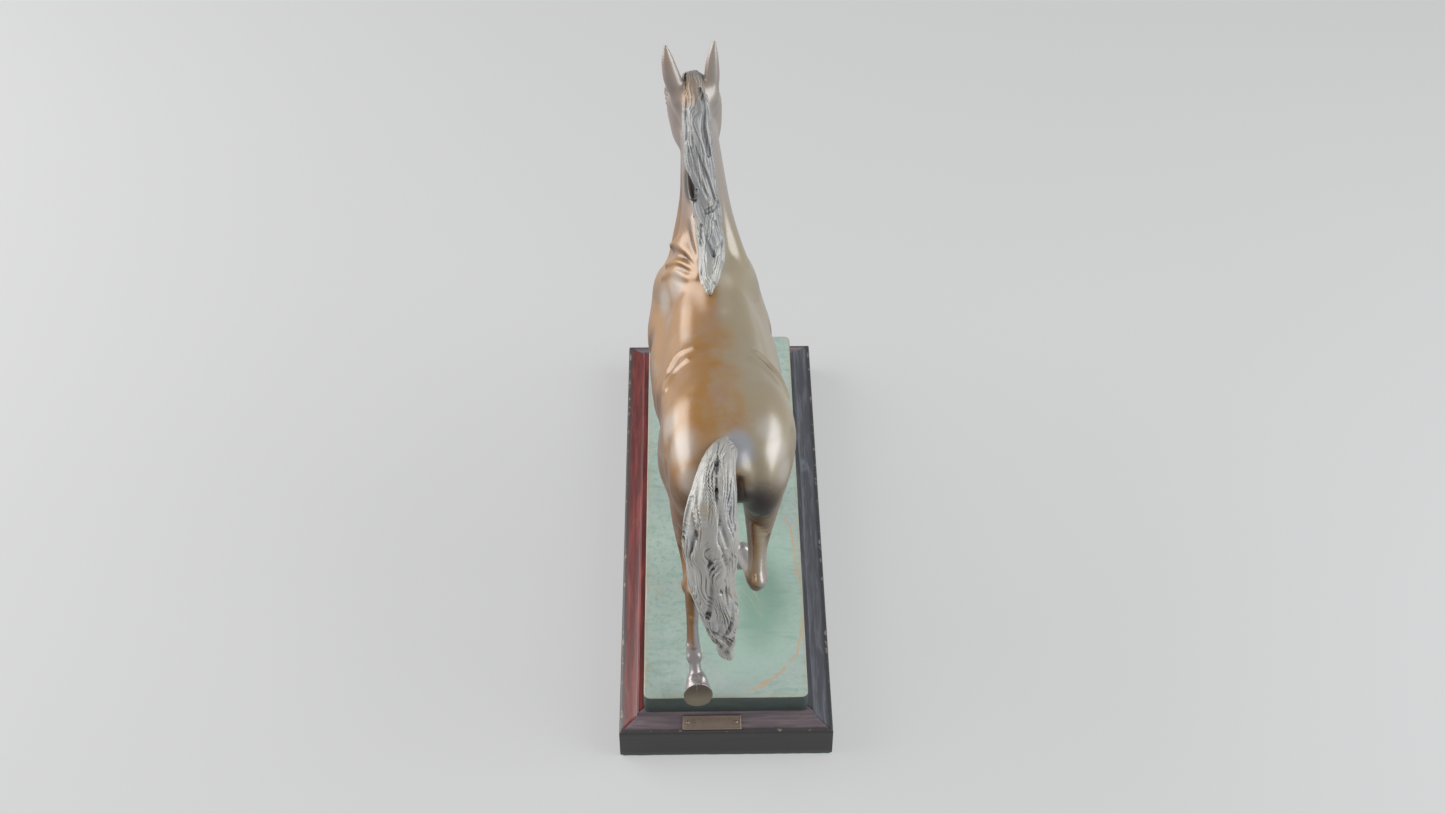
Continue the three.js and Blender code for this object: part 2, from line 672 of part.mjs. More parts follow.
add('name_plate', namePlate(), PLATE_BRASS);
add('plate_pin_left', platePin(-1), PLATE_BRASS);
add('plate_pin_right', platePin(1), PLATE_BRASS);
add('baize_underside', baizeSheet(), BAIZE);

export default statuette;
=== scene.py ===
import math
from concurrent.futures import ThreadPoolExecutor
from contextlib import contextmanager

import bmesh
import bpy
import numpy as np
from mathutils import Matrix, Vector


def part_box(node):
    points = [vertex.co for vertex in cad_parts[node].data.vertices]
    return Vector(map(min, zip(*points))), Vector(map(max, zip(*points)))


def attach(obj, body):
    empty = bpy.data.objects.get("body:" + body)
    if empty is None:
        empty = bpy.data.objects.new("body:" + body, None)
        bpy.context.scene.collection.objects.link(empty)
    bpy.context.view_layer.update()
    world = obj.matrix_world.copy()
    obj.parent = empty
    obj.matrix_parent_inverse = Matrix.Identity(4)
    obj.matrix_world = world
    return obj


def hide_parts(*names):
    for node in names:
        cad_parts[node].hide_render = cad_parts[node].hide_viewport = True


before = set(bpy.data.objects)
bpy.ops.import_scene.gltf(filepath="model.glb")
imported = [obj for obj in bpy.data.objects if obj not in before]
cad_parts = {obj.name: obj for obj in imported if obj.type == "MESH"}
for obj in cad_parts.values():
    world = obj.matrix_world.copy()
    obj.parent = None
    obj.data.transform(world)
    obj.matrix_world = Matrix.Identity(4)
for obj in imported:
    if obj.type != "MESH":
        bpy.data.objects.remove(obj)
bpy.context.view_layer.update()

MM = 0.001
DETAIL = 1.0       # cell size factor while trying things
FAR = 30.0                           # distance written where nothing has been sculpted
FINE_RELIEF, BROAD_RELIEF = 3, 24    # passes of evening out that tell small hollows and wide dips
BODY_PASSES, HAIR_PASSES = 3, 1      # passes that smooth a casting

HORSE_YAW = math.radians(5)
HORSE_PIVOT_Y = -85.0
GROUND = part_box("ground_slab")[1].z / MM


# ---------------------------------------------------------------- sculpting in a distance field

def vec(*numbers):
    return np.array(numbers, float)


def unit(v):
    v = np.asarray(v, float)
    return v / np.linalg.norm(v)


def refine(stations, steps):
    """More stations on a Catmull-Rom curve through the given ones."""
    p = np.array(stations, float)
    p = np.vstack([2 * p[0] - p[1], p, 2 * p[-1] - p[-2]])
    fine = []
    for i in range(1, len(p) - 2):
        for t in np.arange(steps) / steps:
            a, b, c, d = p[i - 1:i + 3]
            fine.append(0.5 * (2 * b + (c - a) * t + (2 * a - 5 * b + 4 * c - d) * t ** 2
                               + (3 * b - a - 3 * c + d) * t ** 3))
    fine.append(p[-2])
    return np.array(fine)


class Clay:
    """A block of clay on a grid: negative inside, positive outside, in millimetres."""

    def __init__(self, low, high, cell):
        self.low = np.array(low, float)
        self.cell = cell * DETAIL
        self.count = np.ceil((np.array(high, float) - self.low) / self.cell).astype(int) + 1
        self.d = np.full(self.count, FAR, np.float32)

    def part(self, low, high):
        """Slices of the grid inside a box, and the coordinates along each side of them."""
        i0 = np.floor((np.asarray(low) - self.low) / self.cell).astype(int)
        i1 = np.ceil((np.asarray(high) - self.low) / self.cell).astype(int) + 1
        i0 = np.clip(i0, 0, self.count)
        i1 = np.clip(i1, 0, self.count)
        if np.any(i1 <= i0):
            return None
        spans = [self.low[k] + self.cell * np.arange(i0[k], i1[k]) for k in range(3)]
        at = np.ix_(*[s.astype(np.float32) for s in spans])
        return tuple(slice(a, b) for a, b in zip(i0, i1)), at

    def put(self, where, shape, blend, carve):
        if carve:
            self.d[where] = -smooth_min(-self.d[where], shape, blend)
        else:
            self.d[where] = smooth_min(self.d[where], shape, blend)

    def sweep(self, stations, blend=2.0, across=(1, 0, 0), steps=4, carve=False):
        """An elliptical body through stations [x, y, z, half width, half depth]."""
        fine = refine(stations, steps)
        across = unit(across)
        reach = fine[:, 3:].max() + blend + 3 * self.cell
        found = self.part(fine[:, :3].min(0) - reach, fine[:, :3].max(0) + reach)
        if found is None:
            return
        whole, _ = found
        start = np.array([w.start for w in whole])
        shape = np.full([w.stop - w.start for w in whole], FAR, np.float32)
        for a, b in zip(fine[:-1], fine[1:]):
            near = max(a[3:].max(), b[3:].max()) + blend + 3 * self.cell
            found = self.part(np.minimum(a[:3], b[:3]) - near, np.maximum(a[:3], b[:3]) + near)
            if found is None:
                continue
            where, at = found
            local = tuple(slice(w.start - s, w.stop - s) for w, s in zip(where, start))
            shape[local] = np.minimum(shape[local], segment_distance(at, a, b, across))
        self.put(whole, shape, blend, carve)

    def ball(self, centre, radii, blend=2.0, turn=(0, 0, 0), carve=False):
        """An ellipsoid, turned by degrees about x, y and z."""
        centre = np.asarray(centre, float)
        radii = np.broadcast_to(np.asarray(radii, float), 3)
        reach = radii.max() + blend + 3 * self.cell
        found = self.part(centre - reach, centre + reach)
        if found is None:
            return
        where, at = found
        axes = turning(turn)
        q = [sum((at[j] - centre[j]) * axes[k][j] for j in range(3)) / radii[k] for k in range(3)]
        rho = np.sqrt(sum(c * c for c in q)) + 1e-6
        slope = np.sqrt(sum((c / r) ** 2 for c, r in zip(q, radii))) + 1e-6
        self.put(where, (rho * (rho - 1) / slope).astype(np.float32), blend, carve)

    def slice_off(self, point, normal, reach):
        """Near a point, takes away everything on the side of a plane that its normal points to."""
        found = self.part(np.asarray(point) - reach, np.asarray(point) + reach)
        if found is None:
            return
        where, at = found
        normal = unit(normal)
        depth = sum((at[k] - point[k]) * normal[k] for k in range(3)).astype(np.float32)
        self.d[where] = np.maximum(self.d[where], depth)


def turning(degrees):
    """The rows are the turned x, y and z axes."""
    x, y, z = (math.radians(v) for v in degrees)
    m = Matrix.Rotation(z, 3, "Z") @ Matrix.Rotation(y, 3, "Y") @ Matrix.Rotation(x, 3, "X")
    return np.array(m.transposed())


def smooth_min(a, b, blend):
    if blend <= 0:
        return np.minimum(a, b)
    h = np.clip(0.5 + 0.5 * (b - a) / blend, 0, 1)
    return b * (1 - h) + a * h - blend * h * (1 - h)


def segment_distance(at, a, b, across):
    """Distance to one short stretch of an elliptical sweep."""
    line = b[:3] - a[:3]
    length = np.linalg.norm(line) + 1e-9
    travel = line / length
    depth = np.cross(travel, across)
    depth = depth / (np.linalg.norm(depth) + 1e-9)
    side = np.cross(depth, travel)
    q = [at[k] - a[k] for k in range(3)]
    along = q[0] * travel[0] + q[1] * travel[1] + q[2] * travel[2]
    t = np.clip(along / length, 0, 1)
    u = q[0] * side[0] + q[1] * side[1] + q[2] * side[2]
    v = q[0] * depth[0] + q[1] * depth[1] + q[2] * depth[2]
    w = along - t * length
    ru = a[3] + (b[3] - a[3]) * t
    rv = a[4] + (b[4] - a[4]) * t
    rw = np.minimum(ru, rv)
    rho = np.sqrt((u / ru) ** 2 + (v / rv) ** 2 + (w / rw) ** 2) + 1e-6
    slope = np.sqrt((u / ru ** 2) ** 2 + (v / rv ** 2) ** 2 + (w / rw ** 2) ** 2) / rho + 1e-6
    return ((rho - 1) / slope).astype(np.float32)


# ---------------------------------------------------------------- clay to mesh

CORNERS = np.array([(i, j, k) for i in (0, 1) for j in (0, 1) for k in (0, 1)])
EDGES = [(a, b) for a in range(8) for b in range(a + 1, 8) if np.abs(CORNERS[a] - CORNERS[b]).sum() == 1]


def surface_net(clay):
    """Vertices and quads of the clay's surface, one vertex in each cell that it crosses."""
    d = clay.d
    inside = d < 0
    n = np.array(d.shape) - 1
    filled = sum(inside[i:n[0] + i, j:n[1] + j, k:n[2] + k].astype(np.int8) for i, j, k in CORNERS)
    cells = np.argwhere((filled > 0) & (filled < 8))
    values = np.stack([d[tuple((cells + c).T)] for c in CORNERS], 1).astype(float)
    total = np.zeros((len(cells), 3))
    hits = np.zeros(len(cells))
    for a, b in EDGES:
        crossed = (values[:, a] < 0) != (values[:, b] < 0)
        t = values[crossed, a] / (values[crossed, a] - values[crossed, b])
        total[crossed] += CORNERS[a] + t[:, None] * (CORNERS[b] - CORNERS[a])
        hits[crossed] += 1
    points = clay.low + clay.cell * (cells + total / hits[:, None])
    ids = np.full(n, -1, np.int64)
    ids[tuple(cells.T)] = np.arange(len(cells))
    quads = []
    for axis in range(3):
        near = [slice(1, -1)] * 3
        near[axis] = slice(0, -1)
        far = [slice(1, -1)] * 3
        far[axis] = slice(1, None)
        one, two = inside[tuple(near)], inside[tuple(far)]
        for leaving in (True, False):
            spots = np.argwhere((one != two) & (one == leaving))
            spots += np.array([0 if k == axis else 1 for k in range(3)])
            u, v = (axis + 1) % 3, (axis + 2) % 3
            ring = []
            for du, dv in ((0, 0), (1, 0), (1, 1), (0, 1)):
                cell = spots.copy()
                cell[:, u] -= du
                cell[:, v] -= dv
                ring.append(ids[tuple(cell.T)])
            ring = np.stack(ring, 1)
            quads.append(ring if leaving else ring[:, ::-1])
    return points, np.concatenate(quads)


def neighbours(quads):
    pairs = np.concatenate([quads[:, [0, 1]], quads[:, [1, 2]], quads[:, [2, 3]], quads[:, [3, 0]]])
    return np.concatenate([pairs, pairs[:, ::-1]])


def averager(points, quads):
    """A function that moves each point to the mean of its neighbours."""
    pairs = neighbours(quads)
    count = np.maximum(np.bincount(pairs[:, 0], minlength=len(points))[:, None], 1)

    def average(p):
        sums = [np.bincount(pairs[:, 0], p[pairs[:, 1], k], len(p)) for k in range(3)]
        return np.stack(sums, 1) / count

    return average


def smooth(points, quads, passes):
    """Evens out the grid's steps without shrinking the form."""
    average = averager(points, quads)
    for _ in range(passes):
        for pull in (0.5, -0.52):
            points = points + pull * (average(points) - points)
    return points


def hollowness(points, quads, normals, passes):
    """How far each point lies under the surface evened out around it, where dark patina gathers; the finishes
    also paint shade in the dips and highlights on raised crests by it.
    """
    average = averager(points, quads)
    even = points
    for _ in range(passes):
        even = average(even)
    return ((even - points) * normals).sum(1)


def spread(mesh, name, values):
    layer = mesh.attributes.new(name, "FLOAT", "POINT")
    layer.data.foreach_set("value", np.asarray(values, np.float32))


def normals_of(points, quads):
    p = points[quads]
    face = np.cross(p[:, 2] - p[:, 0], p[:, 3] - p[:, 1])
    total = np.zeros_like(points)
    for corner in range(4):
        for k in range(3):
            total[:, k] += np.bincount(quads[:, corner], face[:, k], len(points))
    return total / (np.linalg.norm(total, axis=1)[:, None] + 1e-12)


def turn_to_frame(vectors):
    """Rows of x, y, z turned from the horse's plane to the plinth's frame."""
    c, s = math.cos(HORSE_YAW), math.sin(HORSE_YAW)
    turned = np.array(vectors, float)
    turned[:, 0] = vectors[:, 0] * c - vectors[:, 1] * s
    turned[:, 1] = vectors[:, 0] * s + vectors[:, 1] * c
    return turned


def to_frame(points):
    """From the horse's plane, in millimetres, to the plinth's frame in metres."""
    pivot = vec(0, HORSE_PIVOT_Y, 0)
    return (turn_to_frame(points - pivot) + pivot) * MM


def mesh_object(name, points, faces):
    mesh = bpy.data.meshes.new(name)
    mesh.vertices.add(len(points))
    mesh.vertices.foreach_set("co", np.asarray(points, np.float32).ravel())
    size = faces.shape[1]
    mesh.loops.add(faces.size)
    mesh.loops.foreach_set("vertex_index", faces.astype(np.int32).ravel())
    mesh.polygons.add(len(faces))
    mesh.polygons.foreach_set("loop_start", np.arange(0, faces.size, size, dtype=np.int32))
    mesh.polygons.foreach_set("loop_total", np.full(len(faces), size, np.int32))
    mesh.update(calc_edges=True)
    mesh.shade_smooth()
    obj = bpy.data.objects.new(name, mesh)
    bpy.context.scene.collection.objects.link(obj)
    return obj


@contextmanager
def editing(obj):
    """The object's mesh, open for changes that are written back."""
    bm = bmesh.new()
    bm.from_mesh(obj.data)
    bm.verts.ensure_lookup_table()
    yield bm
    bm.to_mesh(obj.data)
    bm.free()


def cast(name, clay, cuts, passes, finish=None):
    """A closed casting from clay. Each cut, (point, normal, box), takes away what its normal points to,
    inside the box if there is one, and leaves a flat face. The clay runs on past the cut, so that two
    castings that meet there have the same surface and the same shading, and the seam doesn't show."""
    points, quads = surface_net(clay)
    points = smooth(points, quads, passes)
    normals = normals_of(points, quads)
    if finish:
        points = finish(points, normals)
        normals = normals_of(points, quads)
    obj = mesh_object(name, to_frame(points), quads)
    spread(obj.data, "hollow", hollowness(points, quads, normals, FINE_RELIEF) / clay.cell)
    spread(obj.data, "dip", hollowness(points, quads, normals, BROAD_RELIEF) / clay.cell)
    layer = obj.data.attributes.new("form_normal", "FLOAT_VECTOR", "POINT")
    layer.data.foreach_set("vector", turn_to_frame(normals).astype(np.float32).ravel())
    with editing(obj) as bm:
        marks = bm.faces.layers.int.new("cap")
        for point, normal, box in cuts:
            cut_away(bm, point, normal, box)
        drop_small_islands(bm)
        rim = [e for e in bm.edges if e.is_boundary]
        capped = bmesh.ops.holes_fill(bm, edges=rim, sides=0)["faces"] if rim else []
        for face in capped:
            face[marks] = 1
        bmesh.ops.recalc_face_normals(bm, faces=bm.faces[:])
        if bm.calc_volume(signed=True) < 0:
            bmesh.ops.reverse_faces(bm, faces=bm.faces[:])
    set_form_normals(obj.data)
    return obj


def cut_away(bm, point, normal, box):
    where = Vector(to_frame(np.array([point], float))[0])
    facing = Vector(turn_to_frame(np.array([unit(normal)]))[0])
    c, s = math.cos(HORSE_YAW), math.sin(HORSE_YAW)

    def inside(co):
        if box is None:
            return True
        x, y, z = co.x / MM, co.y / MM - HORSE_PIVOT_Y, co.z / MM
        own = (x * c + y * s, y * c - x * s + HORSE_PIVOT_Y, z)
        return all(a <= v <= b for a, v, b in zip(box[0], own, box[1]))

    faces = [f for f in bm.faces if inside(f.verts[0].co)]
    parts = list({e for f in faces for e in f.edges}) + list({v for f in faces for v in f.verts}) + faces
    bmesh.ops.bisect_plane(bm, geom=parts, dist=1e-7, plane_co=where, plane_no=facing)
    gone = [f for f in bm.faces
            if (f.calc_center_median() - where).dot(facing) > 0 and inside(f.calc_center_median())]
    bmesh.ops.delete(bm, geom=gone, context="FACES")


def drop_small_islands(bm):
    bm.verts.ensure_lookup_table()
    seen, islands = set(), []
    for start in bm.verts:
        if start in seen:
            continue
        stack, island = [start], []
        seen.add(start)
        while stack:
            v = stack.pop()
            island.append(v)
            for e in v.link_edges:
                o = e.other_vert(v)
                if o not in seen:
                    seen.add(o)
                    stack.append(o)
        islands.append(island)
    islands.sort(key=len)
    loose = [v for island in islands[:-1] for v in island]
    bmesh.ops.delete(bm, geom=loose, context="VERTS")


def set_form_normals(mesh):
    vectors = np.zeros(len(mesh.vertices) * 3, np.float32)
    mesh.attributes["form_normal"].data.foreach_get("vector", vectors)
    vectors = vectors.reshape(-1, 3)
    cap = np.zeros(len(mesh.polygons), np.int32)
    mesh.attributes["cap"].data.foreach_get("value", cap)
    corner = np.zeros(len(mesh.loops), np.int32)
    mesh.loops.foreach_get("vertex_index", corner)
    totals = np.zeros(len(mesh.polygons), np.int32)
    mesh.polygons.foreach_get("loop_total", totals)
    facing = np.zeros(len(mesh.polygons) * 3, np.float32)
    mesh.polygons.foreach_get("normal", facing)
    chosen = vectors[corner]
    flat = np.repeat(cap, totals) == 1
    chosen[flat] = np.repeat(facing.reshape(-1, 3), totals, 0)[flat]
    chosen /= np.linalg.norm(chosen, axis=1)[:, None] + 1e-9
    mesh.shade_smooth()
    mesh.normals_split_custom_set(chosen)
    mesh.attributes.remove(mesh.attributes["form_normal"])
    mesh.attributes.remove(mesh.attributes["cap"])


# ---------------------------------------------------------------- the horse

X_AXIS = (1, 0, 0)

TRUNK_RIBS = [
    [0, 62, 212, 30, 36], [0, 44, 212, 36.5, 43], [0, 22, 210, 41, 47], [0, 0, 210, 43.5, 45.5],
    [0, -28, 211, 45.5, 45], [0, -58, 214, 45, 43], [0, -82, 220, 42, 40], [0, -102, 226, 36, 38],
]
TRUNK_BACK = [
    [0, 42, 246, 21, 29], [0, 12, 249, 24, 29], [0, -14, 247, 29, 28], [0, -48, 243, 33, 25.5],
    [0, -75, 245, 34, 26.5], [0, -103, 247, 32, 30.5], [0, -128, 245, 27, 28], [0, -148, 242, 19, 22],
    [0, -160, 240, 12, 14],
]
NECK = [
    [1.5, 22, 232, 31, 42], [2.2, 38, 254, 26, 37], [1.9, 53, 280, 18.6, 31.5], [1.4, 63, 300, 15.2, 28],
    [0.8, 74, 322, 13.4, 24.5], [-0.4, 82, 340, 12.4, 20.5], [-2.4, 86, 352, 12, 16],
]
CREST = [
    [0, -24, 266, 6, 7], [0, -4, 272, 7, 8], [0, 16, 281, 7.5, 9], [0, 32, 300, 8, 9], [0, 46, 324, 7.5, 9],
    [-1, 60, 346, 7.5, 8.4], [-2, 74, 360, 8, 8], [-2.6, 86, 365, 9, 8.4],
]
SKIN_FOLDS = (                # creases of skin at the withers and the flanks, along the surface
    [[-23.6, 43, 271.4, 1.4, 1.4], [-20.4, 37, 277.4, 2.4, 2.4], [-15, 24, 283, 2.8, 2.8],
     [-9.4, 8, 284.6, 2, 2]],
    [[-28, 33, 262.5, 1.4, 1.4], [-20.2, 19.4, 275.8, 2.6, 2.6], [-13.4, 8, 280.4, 2.4, 2.4],
     [-8.4, 1.4, 281.2, 1.6, 1.6]],
    [[-30.4, 29, 255, 1.2, 1.2], [-23, 17.6, 268.6, 2.4, 2.4], [-16, 4, 275.4, 2.2, 2.2],
     [-10, -1, 279, 1.4, 1.4]],
    [[-9, 32, 301.6, 1.2, 1.2], [-7.8, 21, 294, 2, 2], [-6.8, 12, 288.8, 2, 2], [-7, 2, 282, 1.4, 1.4]],
    [[-38.8, -80, 251, 1.6, 1.6], [-35.6, -62, 248.6, 1.8, 1.8], [-28.4, -56, 259.4, 1.6, 1.6],
     [-17, -58, 267.6, 0.8, 0.8]],
    [[-37.4, -84, 255, 1.4, 1.4], [-32, -70, 256.6, 1.8, 1.8], [-22.6, -68, 266.8, 1.2, 1.2]],
    [[23.4, -65, 266.2, 0.9, 0.9], [30.6, -69, 259.6, 1.6, 1.6], [36.4, -78, 254.6, 1.7, 1.7],
     [40, -92, 252, 1, 1]],
    [[20, -75, 270, 0.8, 0.8], [27.4, -81, 264.2, 1.4, 1.4], [33, -92, 261.4, 1, 1]],
)


def trunk(c):
    c.sweep(TRUNK_RIBS, blend=0, steps=10)
    c.sweep(TRUNK_BACK, blend=12, steps=10)
    for s, stifle, wide, seat, broad in ((-1, 30.5, 15.8, 23, 20), (1, 25.5, 13, 18, 17)):
        c.ball([s * 20, -114, 240], [24, 42, 35], 9)
        c.ball([s * seat, -138, 231], [broad, 30, 34], 8, turn=(6, 0, 0))
        c.ball([s * stifle, -103, 208], [wide, 24, 32], 10, turn=(16, 0, 0))
        c.ball([s * 29, -84, 247], [9.5, 14, 10], 12)
        c.sweep([[s * 21, 60, 213, 12.5, 18], [s * 23.6, 41, 230, 13, 20], [s * 19, 18, 254, 10.5, 16],
                 [s * 9, 2, 270, 7, 10]], 8, steps=10)
        c.ball([s * 28, 20, 206], [13.4, 26, 25], 9, turn=(-20, 0, 0))
        c.ball([s * 12, 64, 205], [15, 17, 24], 8)
        c.sweep([[s * 12, -10, 262, 8, 7], [s * 14, -45, 258, 10, 8], [s * 15, -78, 261, 11, 9],
                 [s * 14, -100, 266, 9, 8]], 7, steps=10)
    trunk_details(c)


def trunk_details(c):
    c.sweep([[0, -90, 281, 0.6, 0.8], [0, -106, 284, 1.2, 1.6], [0, -128, 280.6, 1.4, 1.8],
             [0, -146, 272, 1, 1.2]], 12, carve=True)
    for s in (-1, 1):
        c.ball([s * 51, -70, 224], [7.6, 11, 22], 11, turn=(14, 0, 0), carve=True)
        c.sweep([[s * 46.5, -8, 258, 0.8, 1.4], [s * 47, -2, 238, 1.2, 2], [s * 46, 2, 214, 1.4, 2.4],
                 [s * 43, 0, 190, 1, 2]], 9, carve=True)
        c.sweep([[s * 32, 66, 250, 1, 2.4], [s * 32, 50, 266, 1.2, 3], [s * 22, 34, 286, 1, 2.4]], 8,
                carve=True)
        c.sweep([[s * 43.6, -132, 254, 0.6, 1], [s * 46.2, -142, 232, 0.9, 1.5],
                 [s * 45, -140, 204, 0.8, 1.5]], 8, carve=True)
        for k, y in enumerate((-22, -33, -44, -55)):
            c.sweep([[s * 48, y + 6, 228 - k, 0.5, 0.9], [s * 48.3, y, 212 - k, 0.6, 1],
                     [s * 46.1, y - 5, 196 - k, 0.5, 0.9]], 7, across=(0, 1, 0), carve=True)
    for rows in SKIN_FOLDS:
        c.sweep([[x, y, z, w * 0.66, d * 0.66] for x, y, z, w, d in rows], 4.6 if rows[0][0] < 0 else 6.0)
    c.sweep([[0, -168, 250, 2, 4], [0, -172, 226, 3, 5], [0, -164, 204, 3, 6], [0, -142, 186, 3, 6]], 9,
            carve=True)
    c.sweep([[0, 83, 222, 1.6, 3], [0, 82, 204, 2, 4], [0, 70, 186, 1.6, 3]], 6, carve=True)


def neck(c):
    c.sweep(NECK, 10, steps=10)
    c.sweep(CREST, 9, steps=8)
    for s in (-1, 1):
        c.sweep([[s * 7.4, 97, 320, 4.6, 7], [s * 8.6 + 1, 90, 300, 5.4, 9.5],
                 [s * 10.4 + 2, 83, 277, 6.4, 12], [s * 15.6 + 2.6, 72, 248, 8.6, 14],
                 [s * 21 + 1.4, 62, 222, 9, 13]], 5, steps=8)
        c.sweep([[s * 7.2 - 2, 73, 342, 4, 8], [s * 8.8 + 0.4, 60, 318, 4.6, 10],
                 [s * 11 + 1.8, 46, 292, 6, 12], [s * 17 + 2, 28, 266, 8, 12]], 5, steps=8)
        c.sweep([[s * 12 - 1, 101, 314, 0.6, 1], [s * 14.5 + 0.6, 97, 294, 0.9, 1.6],
                 [s * 19.5 + 1.5, 93, 268, 1, 1.8], [s * 26 + 1.5, 87, 244, 0.8, 1.2]], 5, carve=True)
    c.sweep([[-3, 101, 326, 7, 7], [-0.5, 97, 300, 7.5, 8], [1, 93, 270, 8, 9], [1, 84, 240, 9, 10]], 6)
    c.sweep([[-10, 56, 339, 1.4, 2], [-9.4, 49, 329, 4.2, 5.4], [-7.4, 41, 319, 5.4, 6.4],
             [-4.4, 34, 312, 3.4, 4]], 1.6, carve=True)


# ---- head: u runs from the poll to the muzzle, v towards the forehead

HEAD_TILT = -48.65
POLL = vec(-2.9, 86, 368)
HEAD_U = vec(0, math.cos(math.radians(HEAD_TILT)), math.sin(math.radians(HEAD_TILT)))
HEAD_V = vec(0, -HEAD_U[2], HEAD_U[1])


def on_head(x, u, v):
    return POLL + vec(x, 0, 0) + HEAD_U * u + HEAD_V * v


def head_path(stations):
    return [[*on_head(x, u, v), *sizes] for x, u, v, *sizes in stations]


def head(c):
    turn = (HEAD_TILT, 0, 0)
    c.sweep(head_path([[0.5, 1, -1, 13, 11], [0.6, 9, 0, 16.5, 13.6], [0.8, 22, 0.5, 18.6, 14.6],
                       [0.8, 35, 0, 16.4, 14.2], [0.4, 50, -1, 11.6, 12.4], [0, 66, -2, 9.4, 10.4],
                       [0, 80, -3, 8.8, 9.2], [0, 90, -4, 8.9, 8.8], [0, 95, -5, 6.8, 6.8]]), 6)
    c.ball(vec(-2, 87, 364), [15, 10, 12.4], 6)
    for s in (-1, 1):
        c.ball(on_head(s * 9.6 + 2, 37, -12), [8, 19.5, 16.5], 5, turn)
        c.ball(on_head(s * 10 + 1.4, 30, -5), [7.4, 15, 12], 5, turn)
        c.sweep(head_path([[s * 7 + 1, 46, -17, 3.4, 4], [s * 5 + 0.4, 62, -13.5, 3, 3.6],
                           [s * 3.6, 80, -12, 3, 3.4]]), 4)
        c.sweep(head_path([[s * 14.8, 36, 3, 2, 2], [s * 11.8, 50, 1.5, 1.7, 1.7],
                           [s * 9.2, 63, 0.6, 1.2, 1.2]]), 3)
        c.sweep(head_path([[s * 5.6, 30, 13, 3, 2], [s * 4.4, 52, 10, 2.4, 2], [s * 3.6, 76, 5.4, 2, 2]]), 4)
        c.ball(on_head(s * 13.6, 15, 10), [4, 6, 4], 4, turn, carve=True)
        c.ball(on_head(s * 12, 50, -6), [2.4, 9, 4], 4, turn, carve=True)
        nostril(c, s, turn)
        eye(c, s, turn)
    c.ball(on_head(0, 95.5, -5), [7.4, 4.6, 6], 3, turn)
    c.ball(on_head(0, 90.5, -12.2), [6.2, 6.4, 3.6], 2.4, turn)
    c.ball(on_head(0, 84, -14.6), [5, 5.4, 3.8], 2.4, turn)
    for s in (-1, 1):
        c.sweep(head_path([[s * 9, 77, -10.6, 0.8, 0.7], [s * 8.8, 84, -9.6, 0.9, 0.6],
                           [s * 7, 92, -9.4, 0.9, 0.6], [s * 3, 98.5, -9.6, 0.9, 0.6],
                           [0, 100, -9.6, 0.9, 0.6]]), 0.6, carve=True)
    c.sweep(head_path([[0, 97, -4, 0.7, 0.7], [0, 100.5, -6, 0.8, 0.8], [0, 100, -8, 0.7, 0.7]]), 1.2,
            carve=True)
    ears(c)


def nostril(c, s, turn):
    c.ball(on_head(s * 6.2, 89, 0), [4.2, 7, 5.2], 3, turn)
    c.sweep(head_path([[s * 8.2, 83.5, 2.4, 1.1, 1.1], [s * 9.6, 88, 4.6, 1.3, 1.3],
                       [s * 9.4, 93.5, 3.4, 1.4, 1.4], [s * 8.8, 95.2, 0, 1.3, 1.3],
                       [s * 9.6, 91.5, -2.4, 1.2, 1.2]]), 1.6)
    c.ball(on_head(s * 9.6, 90.6, 0.9), [3.1, 3.9, 2.2], 0.9, (HEAD_TILT - 16, 0, s * 16), carve=True)
    c.ball(on_head(s * 9.4, 86.4, 1.8), [1.8, 3.2, 1.2], 0.9, (HEAD_TILT - 6, 0, 0), carve=True)


def eye(c, s, turn):
    c.sweep(head_path([[s * 13.6, 16, 9.6, 2.2, 2.2], [s * 16.2, 24, 10, 2.6, 2.4],
                       [s * 14.8, 34, 8.4, 2.1, 2]]), 4)
    c.ball(on_head(s * 17.8, 27.2, 4.4), [3.4, 5.8, 4.2], 2.2, turn, carve=True)
    c.ball(on_head(s * 14.2, 27, 4.6), [4.4, 5, 4.6], 0.6, turn)
    c.sweep(head_path([[s * 15, 20.4, 3, 0.8, 0.8], [s * 17.2, 23.4, 7, 1, 1.1],
                       [s * 17.9, 27, 8.3, 1.1, 1.2], [s * 17, 31, 6.6, 1, 1],
                       [s * 15, 33.8, 3.2, 0.8, 0.8]]), 1.2)
    c.sweep(head_path([[s * 15, 20.4, 3, 0.8, 0.8], [s * 17.2, 24.2, 1.3, 0.8, 0.8],
                       [s * 17.6, 27.6, 0.6, 0.9, 0.8], [s * 16.8, 31, 1.2, 0.8, 0.8],
                       [s * 15, 33.8, 3.2, 0.8, 0.8]]), 1.2)


EARS = {                     # rows from the foot up: x, y, z, half width, half thickness
    -1: [[-13.6, 85, 366, 4.6, 4.6], [-15.4, 87, 373, 5.8, 5], [-17.6, 89, 380, 6, 4.6],
         [-19.2, 91, 387, 5.1, 3.9], [-20.4, 93, 394, 3.8, 3], [-21.2, 95, 401.5, 1.2, 1.1]],
    1: [[7.4, 85, 366, 4.6, 4.6], [8.6, 87, 373, 5.2, 4.8], [9.4, 89, 380, 5.2, 4.3],
        [9.8, 91, 387, 4.7, 3.7], [10.6, 93.2, 394.5, 3.4, 2.8], [11.8, 95.6, 402.3, 1.1, 1.1]],
}
EAR_CUP = (                  # how far forward of each row the hollow lies, and its share of the row's sizes
    (4.6, 0.4, 0.5), (3.6, 0.66, 0.8), (2.9, 0.7, 0.85), (2.3, 0.64, 0.8), (1.6, 0.5, 0.7),
)


